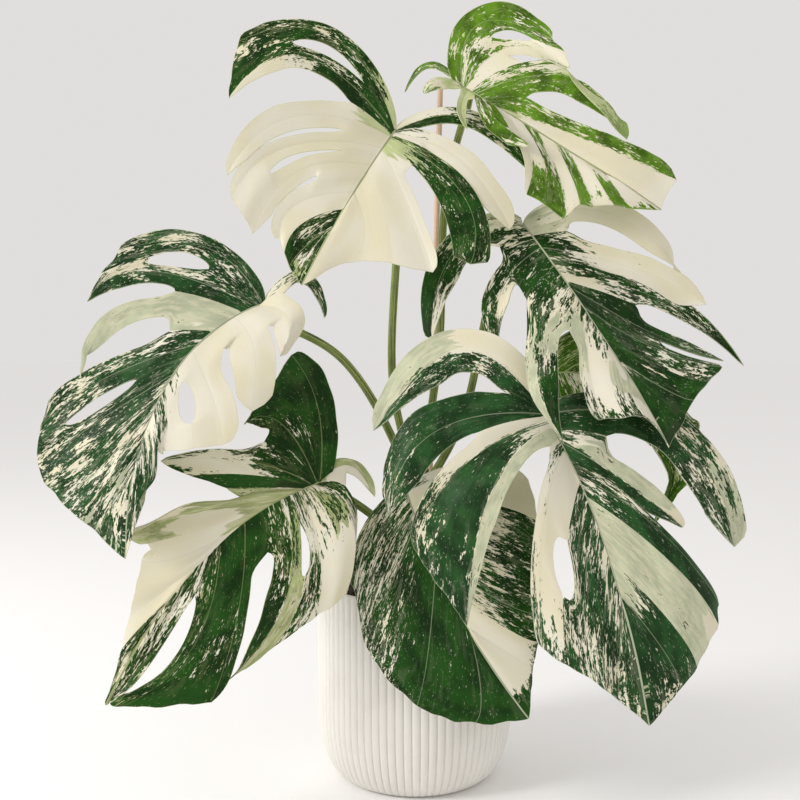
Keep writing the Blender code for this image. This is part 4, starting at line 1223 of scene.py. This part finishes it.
def make_soil():
    """The soil's rough surface, with loose crumbs on it, closed a little way down."""
    turns = np.arange(SOIL_AROUND) / SOIL_AROUND * 2 * math.pi
    edge = POT_RADIUS - POT_WALL - SOIL_CLEARANCE
    bottom = np.full(SOIL_AROUND, CROWN[2] - SOIL_SHOWN_DEPTH)
    rings = [np.stack([edge * np.cos(turns), edge * np.sin(turns), bottom], 1)]
    for step in range(SOIL_STEPS):
        radius = edge * (1 - step / SOIL_STEPS)
        x, y = radius * np.cos(turns), radius * np.sin(turns)
        rough = np.array([
            noise.fractal(Vector((*place, 3.0)), 1.0, 2.0, 4)
            for place in np.stack([x, y], 1) * SOIL_ROUGHNESS_SCALE
        ])
        rings.append(np.stack([x, y, soil_height(radius) + rough * SOIL_ROUGHNESS], 1))
    soil = ring_mesh("soil_bed", rings)
    random = np.random.default_rng(CRUMB_SEED)
    crumbs = [crumb(random, edge) for _ in range(CRUMB_COUNT)]
    faces = [
        tuple(corner + len(CRUMB_CORNERS) * number for corner in face)
        for number in range(CRUMB_COUNT) for face in CRUMB_SIDES
    ]
    return soil, add_object("soil_crumbs", new_mesh("soil_crumbs", np.concatenate(crumbs), faces))


CRUMB_CORNERS = ((1, 0, 0), (-1, 0, 0), (0, 1, 0), (0, -1, 0), (0, 0, 1), (0, 0, -1))
CRUMB_SIDES = (
    (0, 2, 4), (2, 1, 4), (1, 3, 4), (3, 0, 4), (2, 0, 5), (1, 2, 5), (3, 1, 5), (0, 3, 5),
)


def crumb(random, edge):
    """Corners of one lump of soil or bark, an uneven octahedron."""
    size = random.uniform(*CRUMB_SIZES)
    corners = np.array(CRUMB_CORNERS, float)
    shape = corners * random.uniform(0.6, 1.25, (6, 1)) * size * random.uniform(0.6, 1.3, 3)
    turn = random.uniform(0, 2 * math.pi)
    spin = np.array([(math.cos(turn), -math.sin(turn), 0), (math.sin(turn), math.cos(turn), 0),
                     (0, 0, 1)])
    radius = (edge - CRUMBS_FROM_POT) * math.sqrt(random.uniform(0.0, 1.0))
    angle = random.uniform(0, 2 * math.pi)
    place = np.array((radius * math.cos(angle), radius * math.sin(angle), 0))
    place[2] = soil_height(radius) + size * 0.3
    return shape @ spin.T + place


# ---------------------------------------------------------------- putting it together
def dress(obj, material, node):
    """Gives a piece its material and its body, and hides the CAD node that it stands for."""
    obj.data.materials.clear()
    obj.data.materials.append(material)
    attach(obj, "root")
    if node:
        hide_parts(node)


stalk_look = stalk_material()
for number, (name, leaf) in enumerate(LEAVES.items()):
    blade = leaf_object("blade_" + name[5:], leaf)
    dress(blade, leaf_material(name, leaf, FIRST_PATTERN + PATTERN_STEP * number), name)
    dress(make_stalk(name, leaf, blade), stalk_look, name.replace("leaf", "stalk"))

dress(make_stem(), stem_material(), "main_stem")
dress(make_stake(), wood_material(), "support_stake")
dress(make_pot(), ceramic_material(), "planter")
soil_look = soil_material()
bed, crumbs = make_soil()
dress(bed, soil_look, "potting_soil")
dress(crumbs, soil_look, None)


# ---------------------------------------------------------------- floor, light and camera
FLOOR_REACH = 30.0
WORLD_COLOUR = (0.99, 0.965, 0.95)
WORLD_STRENGTH = 0.76
CAMERA_PLACE = (-0.016, -1.07, 0.4555)
CAMERA_TILT = math.radians(87)
CAMERA_LENS = 45
CAMERA_SENSOR = 36


def make_floor():
    reach = FLOOR_REACH
    corners = [(-reach, -reach, 0), (reach, -reach, 0), (reach, reach, 0), (-reach, reach, 0)]
    data = new_mesh("floor", corners, [(0, 1, 2, 3)])
    data.materials.append(Graph("floor").finish(FLOOR_WHITE, 0.9, Specular_IOR_Level=0.0))
    add_object("floor", data)


def add_light(name, place, aim, size, power, colour):
    data = bpy.data.lights.new(name, "AREA")
    data.shape = "DISK"
    data.size = size
    data.energy = power
    data.color = colour
    light = add_object(name, data)
    light.location = place
    light.rotation_euler = (Vector(aim) - Vector(place)).to_track_quat("-Z", "Y").to_euler()


make_floor()
scene = bpy.context.scene
world = bpy.data.worlds.new("world")
world.use_nodes = True
background = world.node_tree.nodes["Background"]
background.inputs["Color"].default_value = rgba(WORLD_COLOUR)
background.inputs["Strength"].default_value = WORLD_STRENGTH
scene.world = world
scene.view_settings.view_transform = "Standard"
scene.view_settings.look = "None"
scene.view_settings.exposure = 0.0
add_light("window", place=(-2.2, -1.0, 1.45), aim=(0, -0.05, 0.40), size=0.9, power=40,
          colour=(1.0, 0.985, 0.96))
add_light("fill", place=(1.9, -1.6, 1.0), aim=(0, -0.05, 0.35), size=1.6, power=2,
          colour=(1.0, 0.95, 0.90))

camera_data = bpy.data.cameras.new("camera")
camera_data.lens = CAMERA_LENS
camera_data.sensor_width = CAMERA_SENSOR
camera = add_object("camera", camera_data)
camera.location = CAMERA_PLACE
camera.rotation_euler = (CAMERA_TILT, 0, 0)
scene.camera = camera
